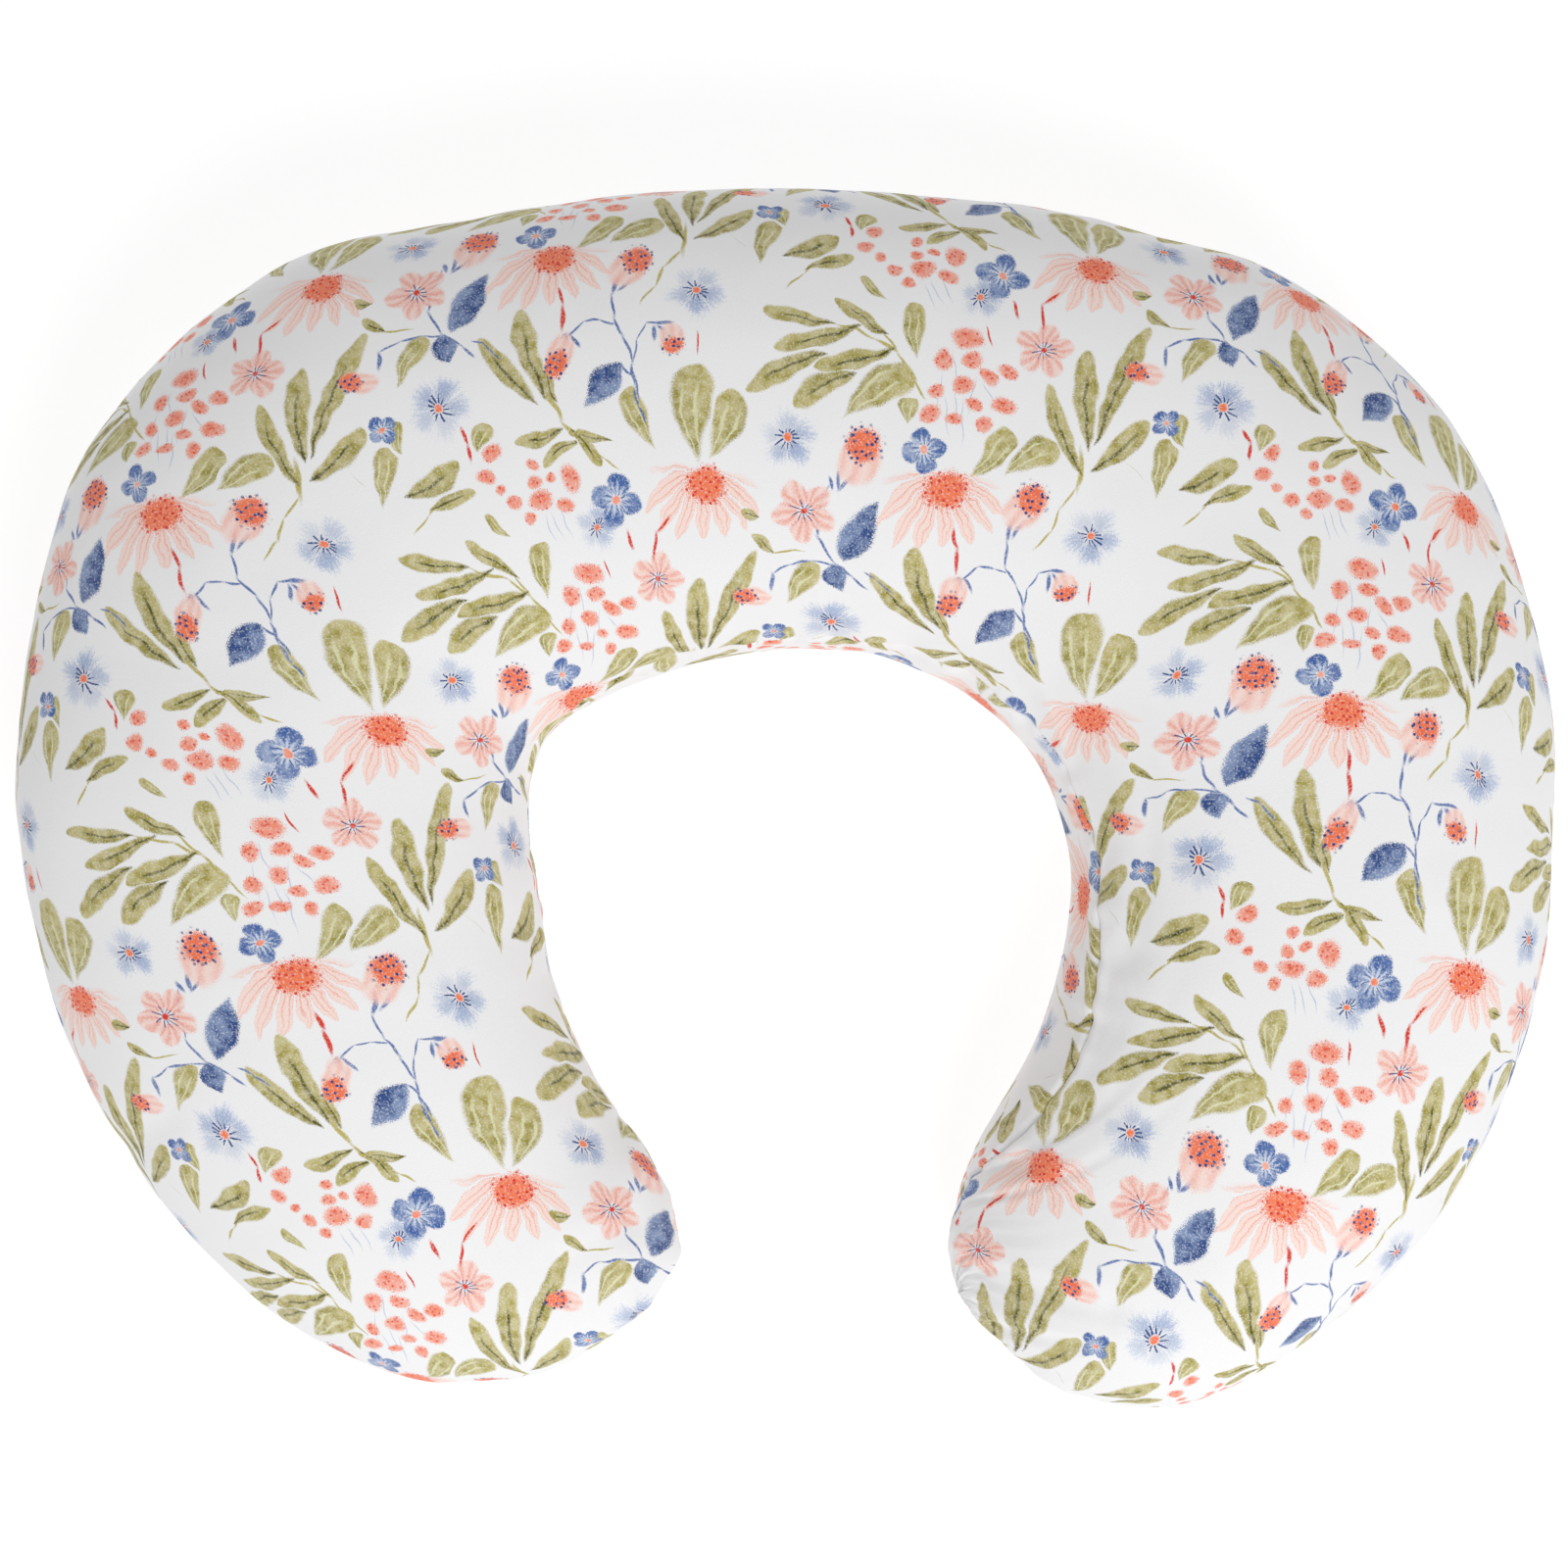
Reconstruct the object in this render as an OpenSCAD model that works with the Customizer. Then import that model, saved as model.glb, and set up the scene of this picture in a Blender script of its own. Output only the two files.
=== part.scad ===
// Nursing pillow
//
// A C-shaped pillow: a fibre filling sewn into a plain liner, inside a printed
// cotton cover that zips along the back edge. It lies flat on z = 0, with the
// closed back of the C towards +Y and the open side, between the two arm tips,
// towards -Y. The origin is under the middle of the pillow. Units: millimetres.

/* [Pillow] */
// Width across both arms
pillow_w = 508; // [440:1:580]
// Height of the stuffed pillow at its back
pillow_h = 127; // [105:1:150]
// Squareness of the stuffed cross-section (2 is an ellipse)
fullness = 2.2; // [2:0.1:2.8]

/* [Cover] */
// Thickness of the printed cotton
cotton_t = 1.0; // [0.6:0.1:1.4]
// Height of the outer seam and the zip above the table
seam_z = 44; // [38:1:56]
// Diameter of the sewing thread
thread_d = 0.8; // [0.5:0.1:0.9]

/* [Zip] */
// Length of the zip, in steps of arc each side of the middle of the back
zip_steps = 2; // [1.2:0.4:2]
// Width of the two meshed zip coils together
coil_w = 5.6; // [4.6:0.2:6.6]
// Thickness of the zip coils
coil_t = 2.0; // [1.6:0.1:2.2]
// Width of the cover's opening along the zip
slot_w = 11; // [10:0.5:13]
// Width of each woven zip tape
tape_w = 12; // [9:0.5:14]
// Length of the pull tab
pull_len = 26; // [18:1:32]
// Width of the pull tab
pull_w = 6.4; // [6:0.2:9]

/* [Inner pillow] */
// Looseness between the cover and the liner
cover_ease = 3.2; // [3.2:0.1:4.4]
// Thickness of the liner cloth
liner_t = 0.8; // [0.5:0.1:1]
// Number of stitches that close the filling opening
closing_stitches = 15; // [9:2:21]

/* [Hidden] */

plan_scale = pillow_w / 508;
height_scale = pillow_h / 127;

// The back edge is a round arc about this centre, six steps of angle long.
arc_r = 490;
arc_centre = [-4, -287];
arc_step = 20 / 3;
function on_arc(a) = arc_centre + arc_r * [sin(a), cos(a)];

// Stations along the C, from the left arm's tip round the back to the right
// arm's tip: [outer edge, inner edge, half the height, height of the middle,
// rise of the inner seam above the middle].
stations = [
    [[-40, -163], [-40, -163], 0, 36, 0],
    [[-57, -180], [-36, -146], 24, 38, 1],
    [[-90, -194], [-44, -122], 40, 43, 2],
    [[-133, -190], [-59, -100], 50, 48, 4],
    [[-183, -160], [-70, -79], 58, 54, 5],
    [[-225, -106], [-78, -57], 63, 58, 6],
    [[-249, -41], [-83, -26], 65, 60, 6],
    [[-253, 31], [-85, 1], 66, 61, 8],
    [[-232, 116], [-79, 21], 66, 61, 12],
    [on_arc(-3 * arc_step), [-61, 33], 66, 61, 18],
    [on_arc(-2 * arc_step), [-43, 40], 66, 61, 21],
    [on_arc(-arc_step), [-23, 46], 66, 61, 22],
    [on_arc(0), [-1, 49], 66, 61, 22],
    [on_arc(arc_step), [23, 49], 66, 61, 22],
    [on_arc(2 * arc_step), [44, 44], 66, 61, 22],
    [on_arc(3 * arc_step), [62, 34], 66, 61, 22],
    [[221, 124], [81, 16], 66, 61, 24],
    [[250, 50], [91, -6], 66, 61, 27],
    [[254, -11], [94, -29], 66, 61, 30],
    [[244, -80], [91, -53], 65, 60, 34],
    [[216, -138], [84, -77], 62, 57, 38],
    [[175, -179], [74, -97], 58, 53, 34],
    [[132, -202], [64, -116], 50, 48, 22],
    [[96, -199], [57, -133], 38, 42, 6],
    [[71, -182], [55, -149], 22, 38, 1],
    [[59, -167], [59, -167], 0, 36, 0]
];
last = len(stations) - 1;
arc_mid = 12;

// The outline seen from above, as one closed loop: the outer edge from tip to
// tip, then the inner edge back.
outline = concat([for (st = stations) st[0]], [for (i = [last - 1:-1:1]) stations[i][1]]);

function wrap(i, n) = (i + 2 * n) % n;
function hold(i) = max(0, min(last, i));

// Smooth curve through four neighbours, at fraction f between b and c.
function spline(a, b, c, d, f) = 0.5 * (2 * b + (c - a) * f
    + (2 * a - 5 * b + 4 * c - d) * f * f + (3 * b - 3 * c + d - a) * f * f * f);

function outline_at(q) = let (i = floor(q), n = len(outline))
    spline(outline[wrap(i - 1, n)], outline[wrap(i, n)], outline[wrap(i + 1, n)],
        outline[wrap(i + 2, n)], q - i);

// One of a station's heights, anywhere along the C. column is its place in the
// station.
function height_at(s, column) = let (i = min(floor(s), last - 1))
    height_scale * max(0, spline(stations[hold(i - 1)][column], stations[i][column],
        stations[i + 1][column], stations[hold(i + 2)][column], s - i));

// Point of the outline moved inwards by a depth.
function edge_at(q, depth) = let (
        slope = outline_at(q + 0.02) - outline_at(q - 0.02),
        inward = [slope[1], -slope[0]] / norm(slope))
    plan_scale * outline_at(q) + depth * inward;

function power(x, e) = sign(x) * pow(abs(x), e);

// Point of the stuffed body at station s, angle t around its section (0 is the
// outer edge, 90 the top, 180 the inner edge) and a depth below the surface.
function body_point(s, t, depth) = let (
        outer = edge_at(s, depth),
        inner = edge_at(2 * last - s, depth),
        half_h = height_at(s, 2) - depth * min(1, height_at(s, 2) / 20),
        z = height_at(s, 3) + half_h * power(sin(t), 2 / fullness),
        across = (outer - inner) / 2 * power(cos(t), 2 / fullness),
        mid = (outer + inner) / 2)
    [mid[0] + across[0], mid[1] + across[1], max(depth, z)];

function tip_point(s, depth, lift) = let (p = edge_at(s, depth))
    [p[0], p[1], height_at(s, 3) + lift];

// Angle around the section at which the body passes a height above its middle.
function angle_at_rise(s, rise) = let (h = height_at(s, 2))
    asin(power(max(-0.9, min(0.9, rise / h)), fullness / 2));

// Angle that an offset in millimetres along the cloth covers at a seam.
function angle_of(mm, s) = mm / max(height_at(s, 2), 4) * 180 / PI;

// Angle around the section of the two seams between the cover's panels. The
// outer one keeps a level height round the back, where the zip takes its place.
function outer_seam(s) = let (h = height_at(s, 2))
    angle_at_rise(s, max(-0.3 * h, min(0.3 * h, height_scale * seam_z - height_at(s, 3))));
function inner_seam(s) = 180 - angle_at_rise(s, height_at(s, 4));

// Rings of the swept solids lie between the two tips, five to two stations,
// counted from the middle of the back so that some fall on the zip's ends.
ring_step = 0.4;
ring_count = floor(last / ring_step);
sides = 16;
rings = [for (k = [-ring_count:ring_count]) let (s = arc_mid + ring_step * k)
    if (s > ring_step / 3 && s < last - ring_step / 3) s];

zip_s = [arc_mid - zip_steps, arc_mid + zip_steps];
zip_half_angle = zip_steps * arc_step;
seam_gap = 0.65 * thread_d;
function in_zip(s) = s > zip_s[0] - 0.05 && s < zip_s[1] + 0.05;
function panel_gap(s) = angle_of(in_zip(s) ? slot_w / 2 : seam_gap, s);

// Depths of the layers below the surface of the cover.
tape_depth = cotton_t + 0.7;
tape_t = 0.5;
liner_depth = cotton_t + cover_ease;
filling_depth = liner_depth + liner_t + 0.9;

// The chain of the zip follows one circle about the arc's centre and leans
// with the cloth beside it.
centre_of_arc = plan_scale * arc_centre;
function radius_of(p) = norm([p[0], p[1]] - centre_of_arc);
zip_angle = outer_seam(arc_mid);
zip_point = body_point(arc_mid, zip_angle, 0);
above_zip = body_point(arc_mid, zip_angle + 3, 0);
below_zip = body_point(arc_mid, zip_angle - 3, 0);
zip_r = radius_of(zip_point);
zip_z = zip_point[2];
zip_lean = atan2(radius_of(above_zip) - radius_of(below_zip), above_zip[2] - below_zip[2]);

coil_gap = 1.2;
coil_front = coil_t - tape_depth + 0.2;
coil_half_angle = zip_half_angle - 0.4;
slider_len = 11;
slider_w = 8.6;
plate_t = 1.1;
slider_front = coil_front + 0.4;
slider_angle = zip_half_angle - 1.4;
pin_d = 1.2;
pin_y = slider_front + plate_t + pin_d / 2 + 0.3;
lug_w = 3;
lug_len = 6.8;
lug_t = 0.8;

// ---------------------------------------------------------------- shapes ---

// Two triangles for each quad, without the ones that a tip squeezes flat.
function triangles(quads) = [
    for (q = quads) for (f = [[q[0], q[1], q[2]], [q[0], q[2], q[3]]])
        if (f[0] != f[1] && f[1] != f[2] && f[2] != f[0]) f];

// Thin cloth between two depths. edges is a list of [station, first angle,
// last angle]. With tips, the cloth also runs to a point at both arm tips.
module cloth(edges, depth_out, depth_in, steps, tips = false, lift = 0) {
    rows = len(edges);
    row = steps + 1;
    layer = rows * row + (tips ? 2 : 0);
    function face_points(depth) = concat(
        [for (e = edges) for (k = [0:steps])
            body_point(e[0], e[1] + (e[2] - e[1]) * k / steps, depth)],
        tips ? [tip_point(0, depth, lift), tip_point(last, depth, lift)] : []);
    // Index of point k in ring r of the outer (0) or inner (1) face.
    function at(face, r, k) = face * layer
        + (r < 0 ? rows * row : r >= rows ? rows * row + 1 : r * row + k);
    spans = tips ? [-1:rows - 1] : [0:rows - 2];
    faces = [for (r = spans) for (k = [0:steps - 1]) for (face = [0, 1])
        let (a = at(face, r, k), b = at(face, r, k + 1),
            c = at(face, r + 1, k + 1), d = at(face, r + 1, k))
        face == 0 ? [d, c, b, a] : [a, b, c, d]];
    seam_edges = [for (r = spans) for (k = [0, steps])
        let (a = at(0, r, k), b = at(0, r + 1, k), c = at(1, r + 1, k), d = at(1, r, k))
        k == 0 ? [d, c, b, a] : [a, b, c, d]];
    cut_ends = tips ? [] : [for (r = [0, rows - 1]) for (k = [0:steps - 1])
        let (a = at(0, r, k), b = at(0, r, k + 1), c = at(1, r, k + 1), d = at(1, r, k))
        r == 0 ? [a, b, c, d] : [d, c, b, a]];
    polyhedron(points = concat(face_points(depth_out), face_points(depth_in)),
        faces = triangles(concat(faces, seam_edges, cut_ends)));
}

// Round thread along a path, closed into a loop or cut off flat.
module thread(path, closed = false) {
    n = len(path);
    around = 6;
    function ahead(i) = closed ? path[(i + 1) % n] : path[min(n - 1, i + 1)];
    function behind(i) = closed ? path[(i + n - 1) % n] : path[max(0, i - 1)];
    points = [for (i = [0:n - 1]) let (
            along = ahead(i) - behind(i),
            side = cross(along, [0, 0, 1]) / norm(cross(along, [0, 0, 1])),
            up = cross(side, along) / norm(along))
        for (k = [0:around - 1]) path[i] + thread_d / 2
            * (cos(360 * k / around) * side + sin(360 * k / around) * up)];
    skin = [for (i = [0:closed ? n - 1 : n - 2]) for (k = [0:around - 1])
        let (j = (i + 1) % n, m = (k + 1) % around)
        [i * around + k, i * around + m, j * around + m, j * around + k]];
    caps = closed ? [] : [for (k = [1:around - 2]) for (end = [0, 1])
        let (base = end * (n - 1) * around)
        end == 0 ? [base, base + k + 1, base + k] : [base, base + k, base + k + 1]];
    polyhedron(points = points, faces = concat(triangles(skin), caps));
}

// Places a piece on the chain: X along it, Y out of the cloth, Z up it.
module on_zip(angle) {
    translate([centre_of_arc[0], centre_of_arc[1], 0])
        rotate([0, 0, -angle])
            translate([0, zip_r, zip_z])
                rotate([-zip_lean, 0, 0])
                    children();
}

// Block given by its lowest corner and its highest one.
module block(low, high) {
    translate(low)
        cube(high - low);
}

// ----------------------------------------------------------------- cover ---

module cover_top_panel() {
    edges = [for (s = rings) [s, outer_seam(s) + panel_gap(s),
        inner_seam(s) - angle_of(seam_gap, s)]];
    color("ivory")
        cloth(edges, 0, cotton_t, sides, tips = true, lift = seam_gap);
}

module cover_bottom_panel() {
    edges = [for (s = rings) [s, inner_seam(s) + angle_of(seam_gap, s),
        360 + outer_seam(s) - panel_gap(s)]];
    color("ivory")
        cloth(edges, 0, cotton_t, sides, tips = true, lift = -seam_gap);
}

// From one end of the zip, round an arm's tip, along the inner edge, round the
// other tip and back to the zip.
module cover_seam_thread() {
    depth = cotton_t / 2;
    left = [for (i = [len(rings) - 1:-1:0]) if (rings[i] < zip_s[0] - 0.1)
        body_point(rings[i], outer_seam(rings[i]), depth)];
    inner = [for (s = rings) body_point(s, inner_seam(s), depth)];
    right = [for (i = [len(rings) - 1:-1:0]) if (rings[i] > zip_s[1] + 0.1)
        body_point(rings[i], outer_seam(rings[i]), depth)];
    color("white")
        thread(concat(left, [tip_point(0, depth, 0)], inner, [tip_point(last, depth, 0)], right));
}

// Sewn-in label, folded flat inside the cover beside the zip.
module care_label() {
    edges = [for (s = rings) if (s > 8.7 && s < 9.3) [s, outer_seam(s) + 2, outer_seam(s) + 28]];
    color("white")
        cloth(edges, tape_depth, tape_depth + 0.4, 5);
}

// ------------------------------------------------------------------- zip ---

module zip_tape(up) {
    near = (coil_gap - 0.2) / 2;
    edges = [for (s = rings) if (in_zip(s)) up
        ? [s, outer_seam(s) + angle_of(near, s), outer_seam(s) + angle_of(tape_w, s)]
        : [s, outer_seam(s) - angle_of(tape_w, s), outer_seam(s) - angle_of(near, s)]];
    color("whitesmoke")
        cloth(edges, tape_depth, tape_depth + tape_t, 3);
}

module zip_tape_upper() {
    zip_tape(true);
}

module zip_tape_lower() {
    zip_tape(false);
}

// Coil of one side, as the smooth bead that encloses its turns.
module zip_coil(up) {
    bead_w = (coil_w - coil_gap) / 2;
    color("white")
        translate([centre_of_arc[0], centre_of_arc[1], 0])
            rotate([0, 0, 90 - coil_half_angle])
                rotate_extrude(angle = 2 * coil_half_angle, $fn = 720)
                    translate([zip_r, zip_z])
                        rotate(-zip_lean)
                            translate([coil_front - coil_t, up ? coil_gap / 2 : -coil_gap / 2 - bead_w])
                                square([coil_t, bead_w]);
}

module zip_coil_upper() {
    zip_coil(true);
}

module zip_coil_lower() {
    zip_coil(false);
}

module zip_stop(angle, z_low, z_high, length) {
    color("silver")
        on_zip(angle)
            block([-length / 2, coil_front - coil_t, z_low], [length / 2, coil_front + 0.2, z_high]);
}

// One stop on each tape, at the end where the zip is closed.
module zip_top_stops() {
    for (side = [-1, 1])
        zip_stop(zip_half_angle - 0.2, side > 0 ? 0.4 : -3, side > 0 ? 3 : -0.4, 2);
}

// One stop across both tapes, at the end where the zip opens to.
module zip_bottom_stop() {
    zip_stop(-zip_half_angle + 0.2, -3, 3, 2);
}

// Front plate with its side flanges, back plate, the post between the coils
// and the lug that holds the pull.
module zip_slider() {
    back_face = -tape_depth - tape_t - 0.6;
    plate_top = slider_front + plate_t;
    lug_top = pin_y + pin_d / 2 + 0.3 + lug_t;
    color("silver")
        on_zip(slider_angle) {
            block([-slider_len / 2, slider_front, -slider_w / 2],
                [slider_len / 2, plate_top, slider_w / 2]);
            for (side = [-1, 1])
                block([-slider_len / 2, 0.4 - cotton_t, side > 0 ? slider_w / 2 - 0.9 : -slider_w / 2],
                    [slider_len / 2, plate_top, side > 0 ? slider_w / 2 : 0.9 - slider_w / 2]);
            block([-slider_len / 2, back_face - 0.8, -slider_w / 2 + 0.6],
                [slider_len / 2, back_face, slider_w / 2 - 0.6]);
            translate([slider_len / 2 - 1.5, back_face - 0.4, 0])
                rotate([-90, 0, 0])
                    cylinder(h = plate_top - back_face, d = 0.8, $fn = 32);
            for (side = [-1, 1])
                block([side > 0 ? lug_len / 2 - lug_t : -lug_len / 2, slider_front, -lug_w / 2],
                    [side > 0 ? lug_len / 2 : lug_t - lug_len / 2, lug_top, lug_w / 2]);
            block([-lug_len / 2, lug_top - lug_t, -lug_w / 2], [lug_len / 2, lug_top, lug_w / 2]);
        }
}

// Tab with an eye whose cross-bar lies under the slider's lug.
module zip_pull() {
    arm_in = lug_w / 2 + 0.4;
    arm_out = arm_in + 1;
    reach = norm([lug_len / 2, lug_t + pin_d / 2 + 0.3]) + 0.5;
    low_y = pin_y - pin_d / 2;
    high_y = pin_y + pin_d / 2;
    color("silver")
        on_zip(slider_angle) {
            translate([0, pin_y, -arm_out])
                cylinder(h = 2 * arm_out, d = pin_d, $fn = 48);
            for (side = [-1, 1])
                block([-reach - 1, low_y, side > 0 ? arm_in : -arm_out],
                    [0, high_y, side > 0 ? arm_out : -arm_in]);
            difference() {
                union() {
                    block([-pull_len + pull_w / 2, low_y, -pull_w / 2], [-reach, high_y, pull_w / 2]);
                    translate([-pull_len + pull_w / 2, low_y, 0])
                        rotate([-90, 0, 0])
                            cylinder(h = pin_d, d = pull_w, $fn = 48);
                }
                block([-pull_len + pull_w / 2, high_y - 0.4, -pull_w / 4],
                    [-reach - 3, high_y + 1, pull_w / 4]);
            }
        }
}

// ---------------------------------------------------------- inner pillow ---

module liner_top_panel() {
    edges = [for (s = rings) [s, angle_of(seam_gap, s), 180 - angle_of(seam_gap, s)]];
    color("white")
        cloth(edges, liner_depth, liner_depth + liner_t, sides, tips = true, lift = seam_gap);
}

module liner_bottom_panel() {
    edges = [for (s = rings) [s, 180 + angle_of(seam_gap, s), 360 - angle_of(seam_gap, s)]];
    color("white")
        cloth(edges, liner_depth, liner_depth + liner_t, sides, tips = true, lift = -seam_gap);
}

module liner_seam_thread() {
    depth = liner_depth + liner_t / 2;
    outer = [for (s = rings) body_point(s, 0, depth)];
    inner = [for (i = [len(rings) - 1:-1:0]) body_point(rings[i], 180, depth)];
    color("white")
        thread(concat([tip_point(0, depth, 0)], outer, [tip_point(last, depth, 0)], inner),
            closed = true);
}

// Stitches across the liner's outer seam, where it was filled.
module liner_closing_stitches() {
    stitch_step = 0.9;
    stitch_h = 5;
    stitch_r = plan_scale * arc_r - liner_depth + thread_d / 2 + 0.1;
    color("white")
        for (k = [0:closing_stitches - 1])
            translate([centre_of_arc[0], centre_of_arc[1], height_at(arc_mid, 3) - stitch_h / 2])
                rotate([0, 0, stitch_step * (k - (closing_stitches - 1) / 2)])
                    translate([0, stitch_r, 0])
                        cylinder(h = stitch_h, d = thread_d, $fn = 24);
}

module liner_label() {
    edges = [for (s = rings) if (s > 4.7 && s < 5.3) [s, 3, 30]];
    color("white")
        cloth(edges, liner_depth - 0.7, liner_depth - 0.4, 5);
}

// The loose polyester fibre, as the one body it is pressed into.
module fibre_filling() {
    around = 2 * sides;
    n = len(rings);
    points = concat([for (s = rings) for (k = [0:around - 1])
            body_point(s, 360 * k / around, filling_depth)],
        [tip_point(0, filling_depth, 0), tip_point(last, filling_depth, 0)]);
    function at(r, k) = r < 0 ? n * around : r >= n ? n * around + 1 : r * around + k % around;
    color("snow")
        polyhedron(points = points, faces = triangles(
            [for (r = [-1:n - 1]) for (k = [0:around - 1])
                [at(r + 1, k), at(r + 1, k + 1), at(r, k + 1), at(r, k)]]));
}

cover_top_panel();
cover_bottom_panel();
cover_seam_thread();
zip_tape_upper();
zip_tape_lower();
zip_coil_upper();
zip_coil_lower();
zip_top_stops();
zip_bottom_stop();
zip_slider();
zip_pull();
care_label();
liner_top_panel();
liner_bottom_panel();
liner_seam_thread();
liner_closing_stitches();
liner_label();
fibre_filling();
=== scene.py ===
"""Looks of the C-shaped nursing pillow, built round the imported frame.

Lengths in the design tables are millimetres; every mesh is made in metres in the frame's axes.
"""
import math
from functools import partial
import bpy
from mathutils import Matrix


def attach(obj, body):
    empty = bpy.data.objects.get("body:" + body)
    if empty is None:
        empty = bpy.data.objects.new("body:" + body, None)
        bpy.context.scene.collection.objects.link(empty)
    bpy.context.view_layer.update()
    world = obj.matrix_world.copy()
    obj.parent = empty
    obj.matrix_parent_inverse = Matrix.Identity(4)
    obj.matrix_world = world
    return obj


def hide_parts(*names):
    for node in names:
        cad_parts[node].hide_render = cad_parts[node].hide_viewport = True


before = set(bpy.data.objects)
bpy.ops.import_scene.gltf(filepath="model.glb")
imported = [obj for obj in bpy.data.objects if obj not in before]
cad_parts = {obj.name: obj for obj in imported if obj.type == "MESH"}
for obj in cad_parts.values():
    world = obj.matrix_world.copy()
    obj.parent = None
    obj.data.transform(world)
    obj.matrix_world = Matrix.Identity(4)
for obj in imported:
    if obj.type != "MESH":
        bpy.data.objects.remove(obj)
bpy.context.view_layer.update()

from types import SimpleNamespace

import bpy
import numpy as np
from mathutils import Vector

MM = 0.001
scene = bpy.context.scene

# ------------------------------------------------------------------ shape ---
# The same sections as the CAD: outer edge, inner edge, half the height, height of the middle and
# rise of the inner seam, from the left arm's tip round the back to the right arm's tip.
arc_r, arc_centre = 490.0, np.array([-4.0, -287.0])  # the outer edge's arc round the back
arc_step = 20 / 3  # degrees between its stations


def on_arc(step):
    """Outer edge at a number of stations from the middle of the back."""
    a = math.radians(step * arc_step)
    return (arc_centre[0] + arc_r * math.sin(a), arc_centre[1] + arc_r * math.cos(a))


stations = [
    ((-40, -163), (-40, -163), 0, 36, 0),
    ((-57, -180), (-36, -146), 24, 38, 1),
    ((-90, -194), (-44, -122), 40, 43, 2),
    ((-133, -190), (-59, -100), 50, 48, 4),
    ((-183, -160), (-70, -79), 58, 54, 5),
    ((-225, -106), (-78, -57), 63, 58, 6),
    ((-249, -41), (-83, -26), 65, 60, 6),
    ((-253, 31), (-85, 1), 66, 61, 8),
    ((-232, 116), (-79, 21), 66, 61, 12),
    (on_arc(-3), (-61, 33), 66, 61, 18),
    (on_arc(-2), (-43, 40), 66, 61, 21),
    (on_arc(-1), (-23, 46), 66, 61, 22),
    (on_arc(0), (-1, 49), 66, 61, 22),
    (on_arc(1), (23, 49), 66, 61, 22),
    (on_arc(2), (44, 44), 66, 61, 22),
    (on_arc(3), (62, 34), 66, 61, 22),
    ((221, 124), (81, 16), 66, 61, 24),
    ((250, 50), (91, -6), 66, 61, 27),
    ((254, -11), (94, -29), 66, 61, 30),
    ((244, -80), (91, -53), 65, 60, 34),
    ((216, -138), (84, -77), 62, 57, 38),
    ((175, -179), (74, -97), 58, 53, 34),
    ((132, -202), (64, -116), 50, 48, 22),
    ((96, -199), (57, -133), 38, 42, 6),
    ((71, -182), (55, -149), 22, 38, 1),
    ((59, -167), (59, -167), 0, 36, 0),
]
last = len(stations) - 1
back = 12  # the station in the middle of the back
fullness = 2.2  # power of the rounded-square section
seam_z, seam_reach = 44.0, 0.3  # height of the outer seam, and its most from the section's middle
zip_steps, slot_w = 2, 11.0  # the zip's stations to each side of the back, and its opening
taper = 20.0  # half-height below which the layers close up towards the arms' tips
rest, sunk = 2.4, 0.15  # how gently the underside flattens where it lies, and how far it sinks
outline = np.array([r[0] for r in stations] + [r[1] for r in stations[-2:0:-1]], float)
heights = np.array([r[2:] for r in stations], float)


def spline(points, q, closed):
    """Points along a smooth curve through the given ones, at the places q."""
    q = np.asarray(q, float)
    n = len(points)
    i = np.floor(q).astype(int) if closed else np.minimum(np.floor(q).astype(int), n - 2)
    f = (q - i)[..., None]
    pick = (lambda k: points[k % n]) if closed else (lambda k: points[np.clip(k, 0, n - 1)])
    a, b, c, d = pick(i - 1), pick(i), pick(i + 1), pick(i + 2)
    square, cube = 2 * a - 5 * b + 4 * c - d, 3 * b - 3 * c + d - a
    return 0.5 * (2 * b + (c - a) * f + square * f**2 + cube * f**3)


def unit(v):
    return v / np.maximum(np.linalg.norm(v, axis=-1, keepdims=True), 1e-9)


def edge(q, depth, nudge=0.02):
    """Outline in plan, moved inward by a depth."""
    slope = spline(outline, q + nudge, True) - spline(outline, q - nudge, True)
    inward = unit(np.stack([slope[..., 1], -slope[..., 0]], -1))
    return spline(outline, q, True) + depth * inward


def heights_at(s):
    return np.maximum(0, spline(heights, s, False))


def power(x, e):
    return np.sign(x) * np.abs(x) ** e


def body(s, t, depth):
    """Surface of the stuffed body: s is (rows,), t is (rows, columns) in radians."""
    h = heights_at(s)
    half, mid = h[:, 0:1], h[:, 1:2]
    half = half - depth * np.minimum(1, half / taper)
    outer, inner = edge(s, depth)[:, None], edge(2 * last - s, depth)[:, None]
    plan = (outer + inner) / 2 + (outer - inner) / 2 * power(np.cos(t), 2 / fullness)[..., None]
    z = mid + half * power(np.sin(t), 2 / fullness)
    z = depth + 0.5 * ((z - depth) + np.sqrt((z - depth) ** 2 + rest**2)) - sunk
    return np.concatenate([plan, z[..., None]], -1)


def angle_at_rise(rise, h):
    """Angle round the section at a height above its middle."""
    share = np.clip(rise / np.maximum(h, 1e-6), -0.9, 0.9)
    return np.arcsin(power(share, fullness / 2))


def outer_seam(s):
    half, mid = heights_at(s).T[:2]
    return angle_at_rise(np.clip(seam_z - mid, -seam_reach * half, seam_reach * half), half)


def inner_seam(s):
    h = heights_at(s)
    return math.pi - angle_at_rise(h[:, 2], h[:, 0])


def smooth(x):
    x = np.clip(x, 0, 1)
    return x * x * (3 - 2 * x)


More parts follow.
